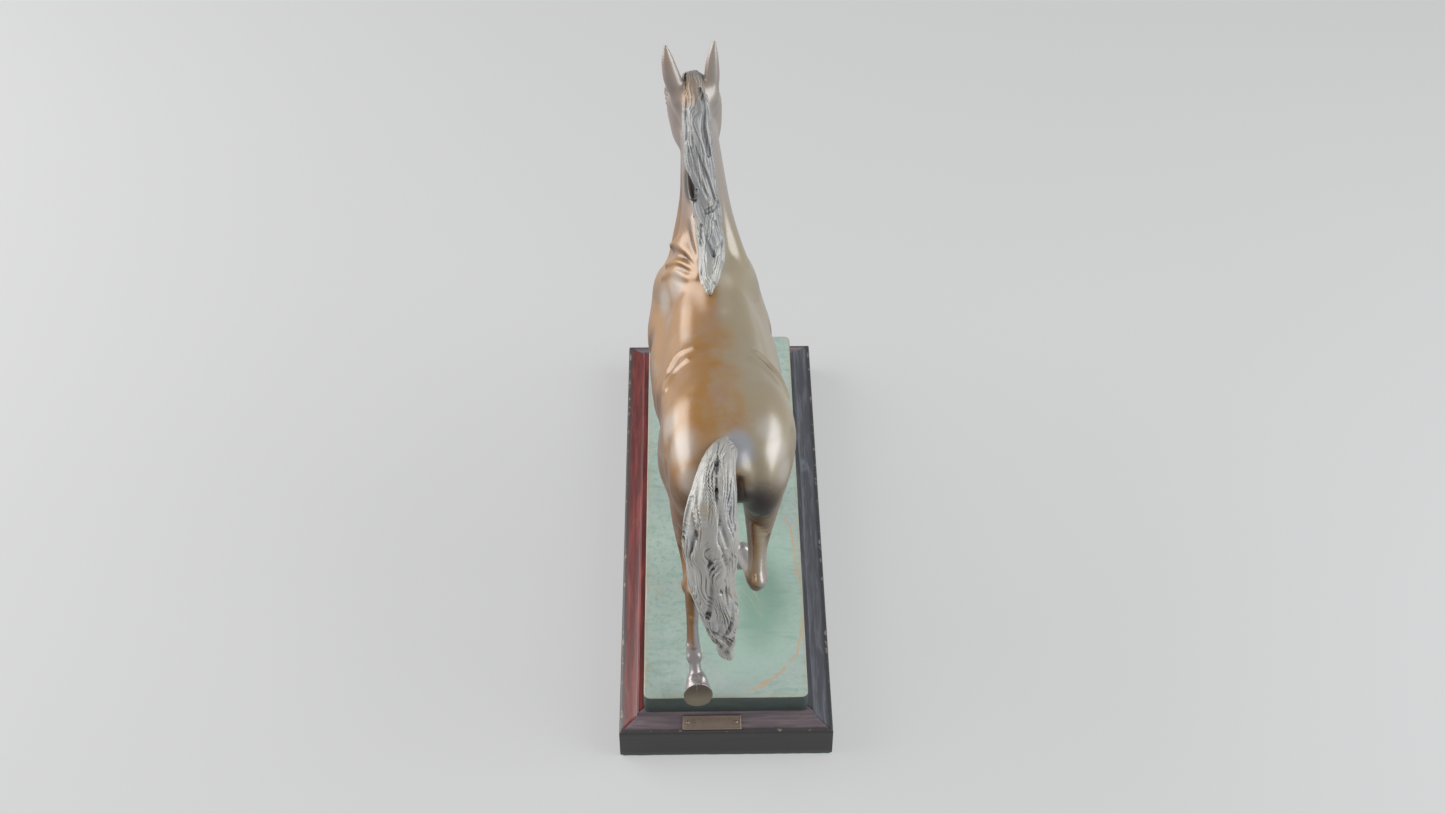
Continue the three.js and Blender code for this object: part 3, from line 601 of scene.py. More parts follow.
def ears(c):
    for s, rows in EARS.items():
        c.sweep(rows, 4)
        cup = [[x + s * 0.9, y + forward, z, w * wide, d * deep]
               for (x, y, z, w, d), (forward, wide, deep) in zip(rows[1:], EAR_CUP)]
        c.sweep(cup, 0.8, carve=True)


# ---- legs: stations run down from the body, x measured from the leg's own plane

HIND_X = {"left": -26, "right": 17.5}
FORE_X = {"left": -17, "right": 17}

LEFT_HIND = [
    [2, -124, 214, 15, 27], [0, -122, 190, 14.5, 25], [-2, -127, 168, 10.6, 17], [-2, -139, 150, 7.2, 12],
    [-2, -151, 135, 6, 8.6], [-3, -157, 119, 4.6, 5.6], [-3.5, -162, 100, 4, 4.4], [-3.5, -167, 85, 5, 5.8],
    [-3.2, -173, 77.5, 3.9, 4.5], [-3, -178, 71.5, 4.6, 5.2],
]
RIGHT_HIND = [
    [6, -120, 214, 15, 27], [5, -114, 190, 14.5, 25], [4, -117, 165, 10.8, 17], [1, -131, 146, 6.8, 12],
    [-0.6, -143, 131, 6.4, 9], [-1.6, -137, 120, 5.6, 7.8], [-3.6, -119, 110, 4.3, 4.8],
    [-5.4, -98, 98.5, 5.2, 5.8], [-5, -90, 89, 4, 4.6], [-4, -86, 82, 4.8, 5.2],
]
RIGHT_FORE = [
    [6, 26, 206, 13, 24], [4, 20, 186, 12, 19], [2, 15, 164, 9.2, 12.5], [0, 9.5, 142, 6.4, 7.6],
    [0, 5, 124, 6.6, 7.2], [0, 1, 108, 4.4, 5], [0, -2.5, 94, 4, 4.6], [0, -4.5, 82, 5.2, 6],
    [0, -1, 71.5, 4.2, 4.8], [0, 2, 65, 5, 5.6],
]
LEFT_FORE = [
    [-6, 30, 206, 13, 24], [-5, 34, 190, 12, 18.5], [-3, 50, 179, 9.4, 13], [0, 70, 170.5, 6.8, 8.4],
    [0, 85, 162.5, 6.6, 8.2], [0, 88, 151, 4.8, 5.6], [0, 84.5, 136, 4.1, 4.7], [0, 79.5, 123, 5.2, 5.9],
    [0, 72, 115.5, 4.1, 4.7], [0, 66.5, 110.5, 4.9, 5.4],
]


def leg_path(x, stations):
    return [[x + dx, *rest] for dx, *rest in stations]


def hoof(c, sole, facing, toe, tall=13.0):
    """The sole's middle, the way the sole faces, and the way the toe points."""
    facing, toe = unit(facing), unit(toe)
    side = np.cross(facing, toe)

    def at(along_toe, up, x=0.0):
        return vec(*sole) + toe * along_toe - facing * up + side * x

    rows = [(-4.6, tall, 6, 6), (-4.2, tall * 0.84, 7, 7), (-3.4, tall * 0.72, 7.2, 7.4), (0, 0, 10, 10.8),
            (0.8, -tall * 0.24, 10.6, 11.4)]
    c.sweep([[*at(a, up), w, d] for a, up, w, d in rows], 1.6, steps=3)
    for s in (-1, 1):
        c.ball(at(-8, 7, s * 3.2), [3.2, 3.4, 4], 3)
    c.slice_off(at(0, 0), facing, 24)
    c.ball(at(1, -23.3), [24, 24, 24], 0.5, carve=True)
    c.sweep([[*at(-9, 1.4), 2.6, 1.3], [*at(-3, 2), 1.8, 1.2], [*at(3.4, 2.4), 0.6, 0.7]], 0.6, across=side,
            steps=3)
    c.sweep([[*at(-10, 0.1), 0.7, 0.9], [*at(-6, 0.3), 0.6, 0.7], [*at(-3, 0.7), 0.4, 0.4]], 0.5,
            across=side, steps=2, carve=True)


def hind_shape(c, x, hock, gaskin, cannon):
    """Point of hock, hamstring tendon, and the hollows each side of it."""
    hock, gaskin, cannon = vec(*hock), vec(*gaskin), vec(*cannon)
    back = vec(0, -1, 0)
    tip = hock + back * 8.5 + vec(0, 0, 3)
    c.sweep([[x, *(gaskin + back * 13)[1:], 3.4, 4], [x, *((gaskin + tip) / 2 + back * 3)[1:], 2.4, 2.8],
             [x, *tip[1:], 3.6, 4]], 3)
    c.ball([x, *tip[1:]], [4, 4.6, 5], 3)
    c.sweep([[x, *tip[1:], 3.4, 4], [x, *(hock + (cannon - hock) * 0.35 + back * 5)[1:], 3, 3.4],
             [x, *(cannon + back * 3)[1:], 2.5, 2.8]], 2)
    for s in (-1, 1):
        hollow = (hock + gaskin) / 2 + back * 5.5
        c.ball([x + s * 7.4, *hollow[1:]], [3.2, 3.6, 11], 4, turn=(-28, 0, 0), carve=True)
        c.ball([x + s * 5.2, *(hock + vec(0, 2, -3))[1:]], [2.4, 4.4, 4.6], 2.4)


def tendon(c, x, top, bottom, radius=2.4, back=(0, -1, 0), gap=4.0):
    """Flexor tendon behind a cannon bone, with a groove each side."""
    top, bottom, back = vec(x, *top), vec(x, *bottom), unit(back)
    a, m, b = top + back * gap, (top + bottom) / 2 + back * gap, bottom + back * gap
    c.sweep([[*p, radius, radius] for p in (a, m, b)], 1.4)
    for s in (-1, 1):
        ends = [p + vec(s * 4, 0, 0) - back * gap * 0.55 for p in (a, m, b)]
        c.sweep([[*p, 0.8, 0.8] for p in ends], 2, carve=True)


def ergot(c, x, at, down=(0, -0.5, -1)):
    """Fetlock: the two small bones behind, and the tuft under them."""
    at = vec(x, *at)
    for s in (-1, 1):
        c.ball(at + vec(s * 2.6, 0, 0), [2.8, 3.2, 3.6], 2)
    tip = at + unit(down) * 6
    c.sweep([[*at, 2.6, 2], [*tip, 0.6, 0.6]], 1.6)


def left_hind(c):
    x = HIND_X["left"]
    c.sweep(leg_path(x, LEFT_HIND), 6)
    hind_shape(c, x - 2, (0, -150, 135), (0, -127, 168), (0, -159, 112))
    tendon(c, x - 3.3, (-158, 114), (-165, 92))
    ergot(c, x - 3.4, (-171, 82))
    hoof(c, (x - 2.6, -190.5, 64.5), (0, -0.99, 0.1), (0, -0.1, -0.99), 12.5)


def right_hind(c):
    x = HIND_X["right"]
    c.sweep(leg_path(x, RIGHT_HIND), 6)
    hind_shape(c, x - 0.6, (0, -143.5, 131), (0, -117, 166), (0, -122, 111))
    tendon(c, x - 4, (-126, 112), (-103, 100), back=(0, -0.5, -0.86))
    ergot(c, x - 5.4, (-97, 94.5), (0, -0.3, -1))
    hoof(c, (x - 3.4, -79.5, 71), (0, -0.3, -0.95), (0, 0.95, -0.3))


def right_fore(c):
    x = FORE_X["right"]
    c.sweep(leg_path(x, RIGHT_FORE), 6)
    knee(c, x, (0, 6, 124), (0, 1, 0))
    tendon(c, x, (-0.5, 114), (-4.5, 88))
    ergot(c, x, (-9, 80))
    hoof(c, (x, 7.5, GROUND + 0.2), (0, 0, -1), (0, 1, 0), 14)


def left_fore(c):
    x = FORE_X["left"]
    c.sweep(leg_path(x, LEFT_FORE), 6)
    knee(c, x, (0, 87, 161), (0, 0.8, 0.6))
    tendon(c, x, (86, 147), (80.5, 127))
    ergot(c, x, (75, 120), (0, -1, -0.6))
    hoof(c, (x, 56, 101.5), (0, -0.8, -0.6), (0, 0.6, -0.8), 12.5)


def knee(c, x, at, front):
    """Two rows of small bones across the front of the knee, and the pea-shaped one behind."""
    at, front = vec(x, *at[1:]), unit(front)
    down = np.cross(X_AXIS, front)
    for s in (-1, 1):
        for level in (-3.6, 2.6):
            c.ball(at + front * 3.2 + down * level + vec(s * 2.8, 0, 0), [3.6, 3.4, 3.6], 1.8)
    c.ball(at - front * 6.4 - down * 0.5, [2.6, 3, 4.4], 2.2)


LEGS = {"left_hind_leg": left_hind, "right_hind_leg": right_hind, "left_foreleg": left_fore,
        "right_foreleg": right_fore}


def body(c):
    trunk(c)
    neck(c)


# ---------------------------------------------------------------- hair

MANE = [
    [-2.6, 108, 361, 3.2, 3], [-2.6, 101, 369, 6.4, 4.6], [-2.6, 90.5, 375, 9.4, 5.8],
    [-3, 77.5, 368.4, 10, 8.4], [-3.2, 62, 351.4, 10.6, 9.8], [-3, 46, 328.6, 11.2, 10],
    [0.4, 28.4, 304.8, 10.2, 9.6], [1.2, 9, 290.6, 9.8, 8.4], [-1.6, -6.5, 283, 7.8, 6.4],
    [-3, -16.5, 279.4, 3.4, 3.2],
]
TAIL = [
    [-4, -142, 259, 8, 8], [-9.8, -158, 265, 11.6, 8.6], [-15.8, -179, 259.5, 15.8, 10.6],
    [-19.4, -196, 237, 19.9, 12], [-20, -202, 221, 18.8, 12], [-20.6, -208, 201, 16, 11.4],
    [-15.8, -213, 178, 13, 10], [-15, -213.6, 165, 9.8, 8.8], [-13, -213, 151, 7.4, 7],
    [-12.2, -212, 137.5, 5.4, 4.8],
]
MANE_LOCKS = (                # start and end along the crest, angles, and how many locks
    (0.12, 0.36, 134, 124, 2), (0.14, 0.5, 92, 78, 3), (0.3, 0.64, 84, 22, 4), (0.44, 0.62, 138, 120, 2),
    (0.56, 0.8, 112, 48, 4), (0.72, 0.94, 118, 74, 4), (0.8, 1.0, 92, 92, 3),
)
MANE_FOLDS = (                # (along, angle) points, and how deep the fold is
    (((0.3, 72), (0.36, 58), (0.43, 68), (0.5, 54)), 1.2), (((0.595, 8), (0.63, 50), (0.645, 92)), 1.7),
    (((0.69, 124), (0.76, 100), (0.8, 84)), 1.3), (((0.48, 116), (0.56, 98), (0.61, 74)), 1.0),
    (((0.68, 66), (0.75, 46), (0.82, 34)), 1.0), (((0.2, 124), (0.26, 130), (0.33, 118)), 0.7),
)
TAIL_FOLDS = (                # (along, angle) points on the tail, and how deep the fold is
    (((0.24, 152), (0.36, 166), (0.5, 168), (0.62, 156)), 1.5), (((0.3, 122), (0.42, 138), (0.52, 132)), 1.0),
    (((0.36, 100), (0.5, 92), (0.6, 106), (0.68, 138)), 1.3),
    (((0.66, 166), (0.7, 128), (0.76, 96), (0.84, 60)), 1.6),
    (((0.74, 158), (0.82, 130), (0.9, 112)), 1.3), (((0.5, 52), (0.6, 40), (0.7, 62), (0.75, 84)), 1.2),
    (((0.83, 40), (0.88, 74), (0.95, 84)), 1.3), (((0.14, 96), (0.26, 84), (0.36, 62)), 0.8),
    (((0.4, 68), (0.48, 56), (0.55, 70)), 0.9), (((0.4, 30), (0.52, 18), (0.64, 24)), 1.2),
)


class Flow:
    """The way hair runs: a fair curve with a width, a depth, and directions across and outward."""

    def __init__(self, stations):
        self.fine = refine(stations, 12)
        line = self.fine[:, :3]
        travel = np.gradient(line, axis=0)
        self.travel = travel / np.linalg.norm(travel, axis=1)[:, None]
        self.girth = self.fine[:, 3:].mean()
        self.length = np.linalg.norm(np.diff(line, axis=0), axis=1).sum()
        self.out = np.cross(X_AXIS, self.travel)
        self.out /= np.linalg.norm(self.out, axis=1)[:, None]

    def at(self, s, angle, lift=1.0):
        """A point at s of the way along, turned from the right side (0) over the top (90 degrees)."""
        i = np.clip(s, 0, 1) * (len(self.fine) - 1)
        k = min(int(i), len(self.fine) - 2)
        f = i - k
        row = self.fine[k] * (1 - f) + self.fine[k + 1] * f
        out = self.out[k] * (1 - f) + self.out[k + 1] * f
        a = math.radians(angle)
        return row[:3] + (vec(*X_AXIS) * math.cos(a) * row[3] - out * math.sin(a) * row[4]) * lift


def lock(c, flow, start, end, angle0, angle1, dice, thick=3.0, lift=1.0, wave=10.0, turns=1.0,
         strands=4, fan=8.0, fine=1.0):
    """A lock of hair: a thick tapering body with strands along it that wave together."""
    phase = dice.uniform(0, 2 * math.pi)
    n = 10
    for j in range(-1, strands):
        rows = []
        shift = 0.0 if j < 0 else (j - (strands - 1) / 2)
        stop = end if j < 0 else end - dice.uniform(0, 0.1) * (end - start)
        for i in range(n):
            t = i / (n - 1)
            full = math.sin(math.pi * min(1.0, 0.22 + 0.8 * t)) ** 0.6 * (1 - 0.35 * t)
            swing = wave * math.sin(phase + shift * 0.16 + turns * 2 * math.pi * t) * (0.35 + 0.65 * t)
            angle = angle0 + (angle1 - angle0) * t + swing + shift * fan * full
            crest = 0.9 + 0.1 * math.sin(math.pi * min(1.0, 0.1 + t)) ** 0.8
            high = lift * crest - thick * full / flow.girth
            if j < 0:
                p = flow.at(start + (stop - start) * t, angle, high)
                rows.append([*p, max(thick * full, 0.5), max(thick * full, 0.5)])
            else:
                crown = 0.7 - 0.3 * (shift / max(1, strands / 2)) ** 2
                p = flow.at(start + (stop - start) * t, angle, high + thick * full * crown / flow.girth)
                rows.append([*p, max(fine * full, 0.34), max(fine * full, 0.34)])
        c.sweep(rows, 1.6 if j < 0 else 0.6, steps=2)


def mane(c):
    dice = np.random.default_rng(11)
    flow = Flow(MANE)
    c.sweep([[x, y, z, w * 0.86, d * 0.86] for x, y, z, w, d in MANE], 0, steps=3)
    for start, end, side, falls, n in MANE_LOCKS:
        for k in range(n):
            a = start + 0.02 * k + dice.uniform(-0.01, 0.01)
            lock(c, flow, a, end + dice.uniform(-0.03, 0.03),
                 side + 24 * (k - (n - 1) / 2) + dice.uniform(-6, 6),
                 falls + 15 * (k - (n - 1) / 2) + dice.uniform(-6, 6), dice, thick=3.4,
                 lift=dice.uniform(1.0, 1.12), wave=dice.uniform(6, 14), turns=dice.uniform(0.6, 1.0),
                 strands=5, fan=11)
    for i in range(8):
        a = 0.14 + 0.7 * i / 8
        lock(c, flow, a, a + dice.uniform(0.14, 0.2), dice.uniform(10, 30), dice.uniform(-10, 10), dice,
             thick=2.4, lift=1.0, wave=9, turns=0.8, strands=4, fan=12)
        lock(c, flow, a, a + dice.uniform(0.14, 0.2), dice.uniform(156, 172), dice.uniform(160, 178), dice,
             thick=2.2, lift=1.0, wave=9, turns=0.8, strands=4, fan=12)
    for angle in (150, 112, 74, 36):
        lock(c, flow, 0.22, 0.0, angle, angle + dice.uniform(-14, 14), dice, thick=2.4, lift=1.0, wave=8,
             turns=0.6, strands=4, fan=13)
    c.sweep([[-13, 59, 343, 1.8, 2.4], [-10, 50, 333, 5.2, 6.4], [-6.9, 41, 322, 6.2, 7.8],
             [-3.8, 33, 314, 4, 4.6]], 1.2, carve=True)
    for path, radius in MANE_FOLDS:
        c.sweep([[*flow.at(along, angle, 1.02), radius, radius] for along, angle in path], 1.2, carve=True)
    for k in range(5):
        c.sweep([[-6.4 + 1.5 * k, 42 - 1.6 * k, 321 - k, 0.8, 0.8],
                 [-9 + 1.7 * k, 35 - 2.2 * k, 310.6 - 1.2 * k, 0.8, 0.8],
                 [-9.6 + 1.8 * k, 30 - 2.4 * k, 306 - k, 0.5, 0.5]], 1)


def tail(c):
    dice = np.random.default_rng(5)
    flow = Flow(TAIL)
    c.sweep([[x, y, z, w * 0.9, d * 0.9] for x, y, z, w, d in TAIL], 0, steps=4)
    for ring, (begin, stop, n) in enumerate(((0.0, 0.62, 9), (0.24, 0.84, 10), (0.46, 1.0, 9))):
        for i in range(n):
            angle = 360 * (i + 0.4 * ring) / n + dice.uniform(-9, 9)
            lock(c, flow, begin + dice.uniform(0.0, 0.08), stop + dice.uniform(-0.08, 0.0), angle,
                 angle + dice.uniform(-34, 34), dice, thick=4.4, lift=dice.uniform(0.97, 1.07),
                 wave=dice.uniform(9, 20), turns=dice.uniform(0.9, 1.6), strands=6, fan=6.5, fine=1.1)
    for start, side, falls in ((0.56, 150, 84), (0.6, 136, 70), (0.64, 60, 120), (0.7, 116, 60)):
        lock(c, flow, start, start + 0.24, side, falls, dice, thick=3.6, lift=1.1, wave=7, turns=0.7,
             strands=5, fan=7)
    c.ball([-10.8, -214.6, 138.4], [5.2, 4.4, 5.6], 2)
    c.ball([-21.4, -219, 149], [3.4, 6, 4.6], 1.6, carve=True)
    for path, radius in TAIL_FOLDS:
        c.sweep([[*flow.at(along, angle, 1.0), radius, radius] for along, angle in path], 1.6, carve=True)


def comb(points, normals, flow, waves, depth, dice):
    """Fine wavy grooves along the hair, gathered in tufts, and shallow lumps under them."""
    line, total = flow.fine[:, :3], len(flow.fine)
    chunks = np.array_split(points, max(1, len(points) // 4000))
    nearest = np.concatenate([((chunk[:, None, :] - line) ** 2).sum(2).argmin(1) for chunk in chunks])
    off = points - line[nearest]
    angle = np.arctan2(-(off * flow.out[nearest]).sum(1), off[:, 0])
    along = nearest / total + (off * flow.travel[nearest]).sum(1) / flow.length
    a, b, d, e = dice.uniform(0, 2 * math.pi, 4)
    bend = (0.16 * np.sin(along * 17 + 2 * angle + a) + 0.09 * np.sin(along * 37 - 3 * angle + b)
            + 0.04 * np.sin(along * 71 + 5 * angle + d))
    sunk = 0.7 + 0.7 * np.sin(along * 30 + 2 * angle + b) * np.sin(along * 17 - 3 * angle + a)
    for lean, count, shift in ((0.0, 1.0, a), (2.4, 0.7, b), (-2.0, 0.84, d), (0.6, 1.3, e)):
        patch_of = np.sin(along * 19 + 3 * angle + 2.3 * shift) * np.sin(along * 11 - 2 * angle + shift)
        turn = (angle + bend + lean * along) * waves * count
        lines = np.abs(np.sin(turn + 1.4 * np.sin(along * 27 + 3 * angle + shift)))
        sunk += np.clip(1.5 * patch_of - 0.1, 0, 1) * (1 - lines) ** 1.8
    sunk *= depth
    return points - normals * sunk[:, None]


# ---------------------------------------------------------------- castings and their seams

NECK_SEAM = ((0, 44, 262), (0, 0.545, 0.839))
HEAD_SEAM = ((0, 87, 338), (0, 0.93, 0.37))
LEG_SEAMS = {                                  # point, way down the leg, and the box that holds the leg
    "left_hind_leg": ((0, -127, 178), (0, -0.25, -0.97), (-60, -220, 50), (-2, -84, 205)),
    "right_hind_leg": ((0, -117, 178), (0, -0.25, -0.97), (-2, -180, 50), (60, -55, 205)),
    "left_foreleg": ((0, 64, 173), (0, 0.9, -0.44), (-36, 42, 85), (-3, 105, 186)),
    "right_foreleg": ((0, 14, 155), (0, 0.1, -1), (0, -20, 48), (40, 40, 172)),
}


def back_to_front(normal):
    return tuple(-v for v in normal)


CLAYS = {                     # the block's low and high corners, its cell, and what is sculpted in it
    "trunk_casting": ((-54, -182, 150), (54, 94, 306), 1.06, (body, *LEGS.values())),
    "neck_casting": ((-48, -34, 224), (48, 116, 392), 0.8, (body, head)),
    "head_casting": ((-30, 68, 268), (26, 164, 408), 0.55, (neck, head)),
    "mane_casting": ((-22, -32, 262), (26, 116, 392), 0.5, (mane,)),
    "tail_casting": ((-48, -236, 124), (16, -126, 286), 0.5, (tail,)),
}
for name, (_, _, low, high) in LEG_SEAMS.items():
    CLAYS[name] = (low, high, 0.6, (trunk, LEGS[name]))


def sculpt(name):
    """The clay of one casting."""
    low, high, cell, shapes = CLAYS[name]
    clay = Clay(low, high, cell)
    for shape in shapes:
        shape(clay)
    return clay


COMBING = {
    "mane_casting": lambda p, n: comb(p, n, Flow(MANE), 11, 0.5, np.random.default_rng(3)),
    "tail_casting": lambda p, n: comb(p, n, Flow(TAIL), 15, 0.8, np.random.default_rng(4)),
}


def make_horse():
    """Each casting as its own object, cut where it's welded to the next."""
    cuts = {name: () for name in CLAYS}
    cuts["trunk_casting"] = [(*NECK_SEAM, None)]
    cuts["trunk_casting"] += [(p, n, (low, high)) for p, n, low, high in LEG_SEAMS.values()]
    cuts["neck_casting"] = [(NECK_SEAM[0], back_to_front(NECK_SEAM[1]), None), (*HEAD_SEAM, None)]
    cuts["head_casting"] = [(HEAD_SEAM[0], back_to_front(HEAD_SEAM[1]), None)]
    for name, (p, n, _, _) in LEG_SEAMS.items():
        cuts[name] = [(p, back_to_front(n), None)]
    castings = {}
    with ThreadPoolExecutor(4) as pool:
        clays = {name: pool.submit(sculpt, name) for name in CLAYS}
        for name, clay in clays.items():
            hair = name in ("mane_casting", "tail_casting")
            castings[name] = cast(name.replace("_casting", "") + "_bronze", clay.result(), cuts[name],
                                  HAIR_PASSES if hair else BODY_PASSES, COMBING.get(name))
    return castings


# ---------------------------------------------------------------- ground slab, plinth, plaque and baize

def box_mm(node):
    low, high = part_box(node)
    return np.array(low) / MM, np.array(high) / MM


def patch(name, rows):
    """A skin over rows of points, each row a ring; the ends are closed by flat faces."""
    rows = np.asarray(rows, float)
    n, m = rows.shape[:2]
    i, j = np.meshgrid(np.arange(n - 1), np.arange(m), indexing="ij")
    k = (j + 1) % m
    quads = np.stack([i * m + j, i * m + k, (i + 1) * m + k, (i + 1) * m + j], -1).reshape(-1, 4)
    obj = mesh_object(name, rows.reshape(-1, 3) * MM, quads)
    with editing(obj) as bm:
        for first in (0, (n - 1) * m):
            bm.faces.new([bm.verts[first + a] for a in range(m)])
        bmesh.ops.recalc_face_normals(bm, faces=bm.faces[:])
    return obj


def shade_by_angle(obj, degrees=35):
    """Smooth, with the sharp edges marked where faces meet at more than an angle."""
    with editing(obj) as bm:
        for face in bm.faces:
            face.smooth = True
        for edge in bm.edges:
            edge.smooth = len(edge.link_faces) != 2 or edge.calc_face_angle(0) < math.radians(degrees)


def rounded_outline(half_x, half_y, corner, per_side, per_corner):
    """Points round a rounded rectangle, anticlockwise from the middle of the +X side."""
    pts = []
    spans = [(1, 0), (0, 1), (-1, 0), (0, -1)]
    for ax, ay in spans:
        bx, by = -ay, ax
        reach = half_x if ax else half_y
        side = (half_y if ax else half_x) - corner
        for t in np.linspace(-1, 1, per_side + 1):
            pts.append((ax * reach + bx * side * t, ay * reach + by * side * t))
        for t in np.arange(1, per_corner) / per_corner * math.pi / 2:
            cx, cy = reach - corner, side
            pts.append((ax * (cx + corner * math.cos(t)) + bx * (cy + corner * math.sin(t)),
                        ay * (cx + corner * math.cos(t)) + by * (cy + corner * math.sin(t))))
    return np.array(pts)


def ground_relief(x, y):
    """Low hand-worked unevenness of the slab's top, in millimetres, flat round the planted hoof."""
    dice = np.random.default_rng(3)
    h = np.zeros_like(x)
    for size, depth in ((46, 0.16), (21, 0.09), (9, 0.045), (4.2, 0.02)):
        for _ in range(7):
            a, b = dice.uniform(0, 2 * math.pi, 2)
            h += depth * 0.5 * np.sin((x * math.cos(a) + y * math.sin(a)) * 2 * math.pi / size + b)
    foot = to_frame(np.array([[FORE_X["right"], 7.5, GROUND]]))[0] / MM
    away = np.hypot(x - foot[0], y - foot[1])
    return (h - 0.3) * np.clip((away - 12) / 14, 0, 1)


def square_to_rounded(u, v, half_x, half_y, corner):
    """Sends a rectangle onto the same rectangle with rounded corners."""
    x, y = u * half_x, v * half_y
    a = np.clip((np.abs(x) - (half_x - corner)) / corner, 0, 1)
    b = np.clip((np.abs(y) - (half_y - corner)) / corner, 0, 1)
    x = np.sign(x) * (np.minimum(np.abs(x), half_x - corner) + corner * a * np.sqrt(1 - b * b / 2))
    y = np.sign(y) * (np.minimum(np.abs(y), half_y - corner) + corner * b * np.sqrt(1 - a * a / 2))
    return x, y


SLAB_CORNER, SLAB_EDGE, SLAB_WALL = 5.0, 1.3, 5.0


def make_slab():
    low, high = box_mm("ground_slab")
    half_x, half_y = (high[0] - low[0]) / 2, (high[1] - low[1]) / 2
    top, foot = high[2], low[2]
    step = 1.35
    near_edge = np.array([0, 0.12, 0.3, 0.55, 0.85, SLAB_EDGE, 2.2])
    rim, rim_y = 1 - near_edge / half_x, 1 - near_edge / half_y
    mid = np.linspace(-rim[-1], rim[-1], int(2 * half_x / step))[1:-1]
    mid_y = np.linspace(-rim_y[-1], rim_y[-1], int(2 * half_y / step))[1:-1]
    us = np.concatenate([-rim, mid, rim[::-1]])
    vs = np.concatenate([-rim_y, mid_y, rim_y[::-1]])
    u, v = np.meshgrid(us, vs, indexing="ij")
    x, y = square_to_rounded(u, v, half_x, half_y, SLAB_CORNER)
    inward = np.minimum((1 - np.abs(u)) * half_x, (1 - np.abs(v)) * half_y)
    t = np.clip(inward / SLAB_EDGE, 0, 1)
    z = top - SLAB_EDGE * (1 - np.sqrt(1 - (1 - t) ** 2)) + ground_relief(x, y) * t - 0.02
    nu, nv = u.shape
    points = np.stack([x, y, z], -1).reshape(-1, 3)
    i, j = np.meshgrid(np.arange(nu - 1), np.arange(nv - 1), indexing="ij")
    quads = np.stack([i * nv + j, (i + 1) * nv + j, (i + 1) * nv + j + 1, i * nv + j + 1], -1).reshape(-1, 4)
    loop = np.array([i * nv for i in range(nu)] + [(nu - 1) * nv + j for j in range(1, nv)]
                    + [i * nv + nv - 1 for i in range(nu - 2, -1, -1)] + list(range(nv - 2, 0, -1)))
    rings = [points[loop]]
    flat = points[loop].copy()
    for inset, height in ((0, top - 4), (0, top - 9), (0, foot + 0.8), (0.25, foot + 0.25), (0.8, foot),
                          (SLAB_WALL, foot), (SLAB_WALL, top - 7.5), (SLAB_WALL + 1.5, top - 6)):
        ring = flat.copy()
        ring[:, 0] *= 1 - inset / half_x
        ring[:, 1] *= 1 - inset / half_y
        ring[:, 2] = height
        rings.append(ring)
    count = len(points)
    m = len(loop)
    extra = np.concatenate(rings[1:])
    index = [loop] + [count + k * m + np.arange(m) for k in range(len(rings) - 1)]
    sides = []
    for a, b in zip(index[:-1], index[1:]):
        sides.append(np.stack([a, b, np.roll(b, -1), np.roll(a, -1)], 1))
    obj = mesh_object("slab_bronze", np.concatenate([points, extra]) * MM, np.concatenate([quads] + sides))
    with editing(obj) as bm:
        bm.faces.new([bm.verts[int(k)] for k in index[-1]])
        bmesh.ops.recalc_face_normals(bm, faces=bm.faces[:])
    shade_by_angle(obj, 40)
    return obj


PLINTH_WIDTH, PLINTH_LENGTH, RAIL_WIDTH, MITRE_GAP = 150, 394, 24.0, 0.3
BEVEL_START, BEVEL_RUN, BEVEL_RISE = 27.2, 12.6, 3.2      # of the sloping top of the moulding
RAIL_END = 16                # length at each end where the mitre's stations lie
PLATE_HALF = (20.5, 5.3)
PLATE_PLACE = (-10, 7.1 - PLINTH_LENGTH / 2, 28.8)
PIN_REACH, PIN_SIDES = 17, 20


def rail_profile(height, width):
    """The moulding's outline as (inward, upward) points, with its corners eased."""
    shoulder, run, rise = BEVEL_START, BEVEL_RUN, BEVEL_RISE
    return [
        (0.5, 1.5), (0.12, 1.7), (0, 2.1), (0, 6), (0, 12), (0, 18), (0, 23), (0, 25.2), (0.06, 25.8),
        (0.3, 26.5), (0.8, 27.0), (1.6, shoulder + 0.05), (3.2, shoulder + 0.55), (6, shoulder + 1.3),
        (9, shoulder + 2.15), (11.7, shoulder + 2.95), (12.25, shoulder + rise),
        (run + 0.02, shoulder + rise + 0.4), (run + 0.2, height - 1.1), (run + 0.45, height - 0.45),
        (run + 1.0, height), (16, height), (20, height), (width, height), (width, 1.5),
    ]


def make_rail(node, length, set_back, quarter_turns):
    profile = np.array(rail_profile(box_mm(node)[1][2], RAIL_WIDTH))
    middle = profile.mean(0)
    half = length / 2 - MITRE_GAP / 2
    stations = [(0.0, 0.30), (0.12, 0.1), (0.4, 0)] + [(d, 0) for d in (3, 8)]
    inner = np.linspace(RAIL_END, half * 2 - RAIL_END, 48) - half
    rows = []
    for side, group in ((-1, stations), (0, inner), (1, stations[::-1])):
        for item in group:
            setback, shrink = item if side else (0, 0)
            pts = profile + (middle - profile) / np.linalg.norm(middle - profile, axis=1)[:, None] * shrink
            reach = half - pts[:, 0] - setback
            along = side * reach if side else item * (half - pts[:, 0] - RAIL_END) / (half - RAIL_END)
            rows.append(np.stack([np.broadcast_to(along, len(pts)), pts[:, 0] - set_back, pts[:, 1]], 1))
    rows = np.array(rows)
    a = quarter_turns * math.pi / 2
    x = rows[..., 0] * math.cos(a) - rows[..., 1] * math.sin(a)
    y = rows[..., 0] * math.sin(a) + rows[..., 1] * math.cos(a)
    obj = patch(node.replace("_rail", "_moulding"), np.stack([x, y, rows[..., 2]], -1))
    shade_by_angle(obj, 38)
    return obj


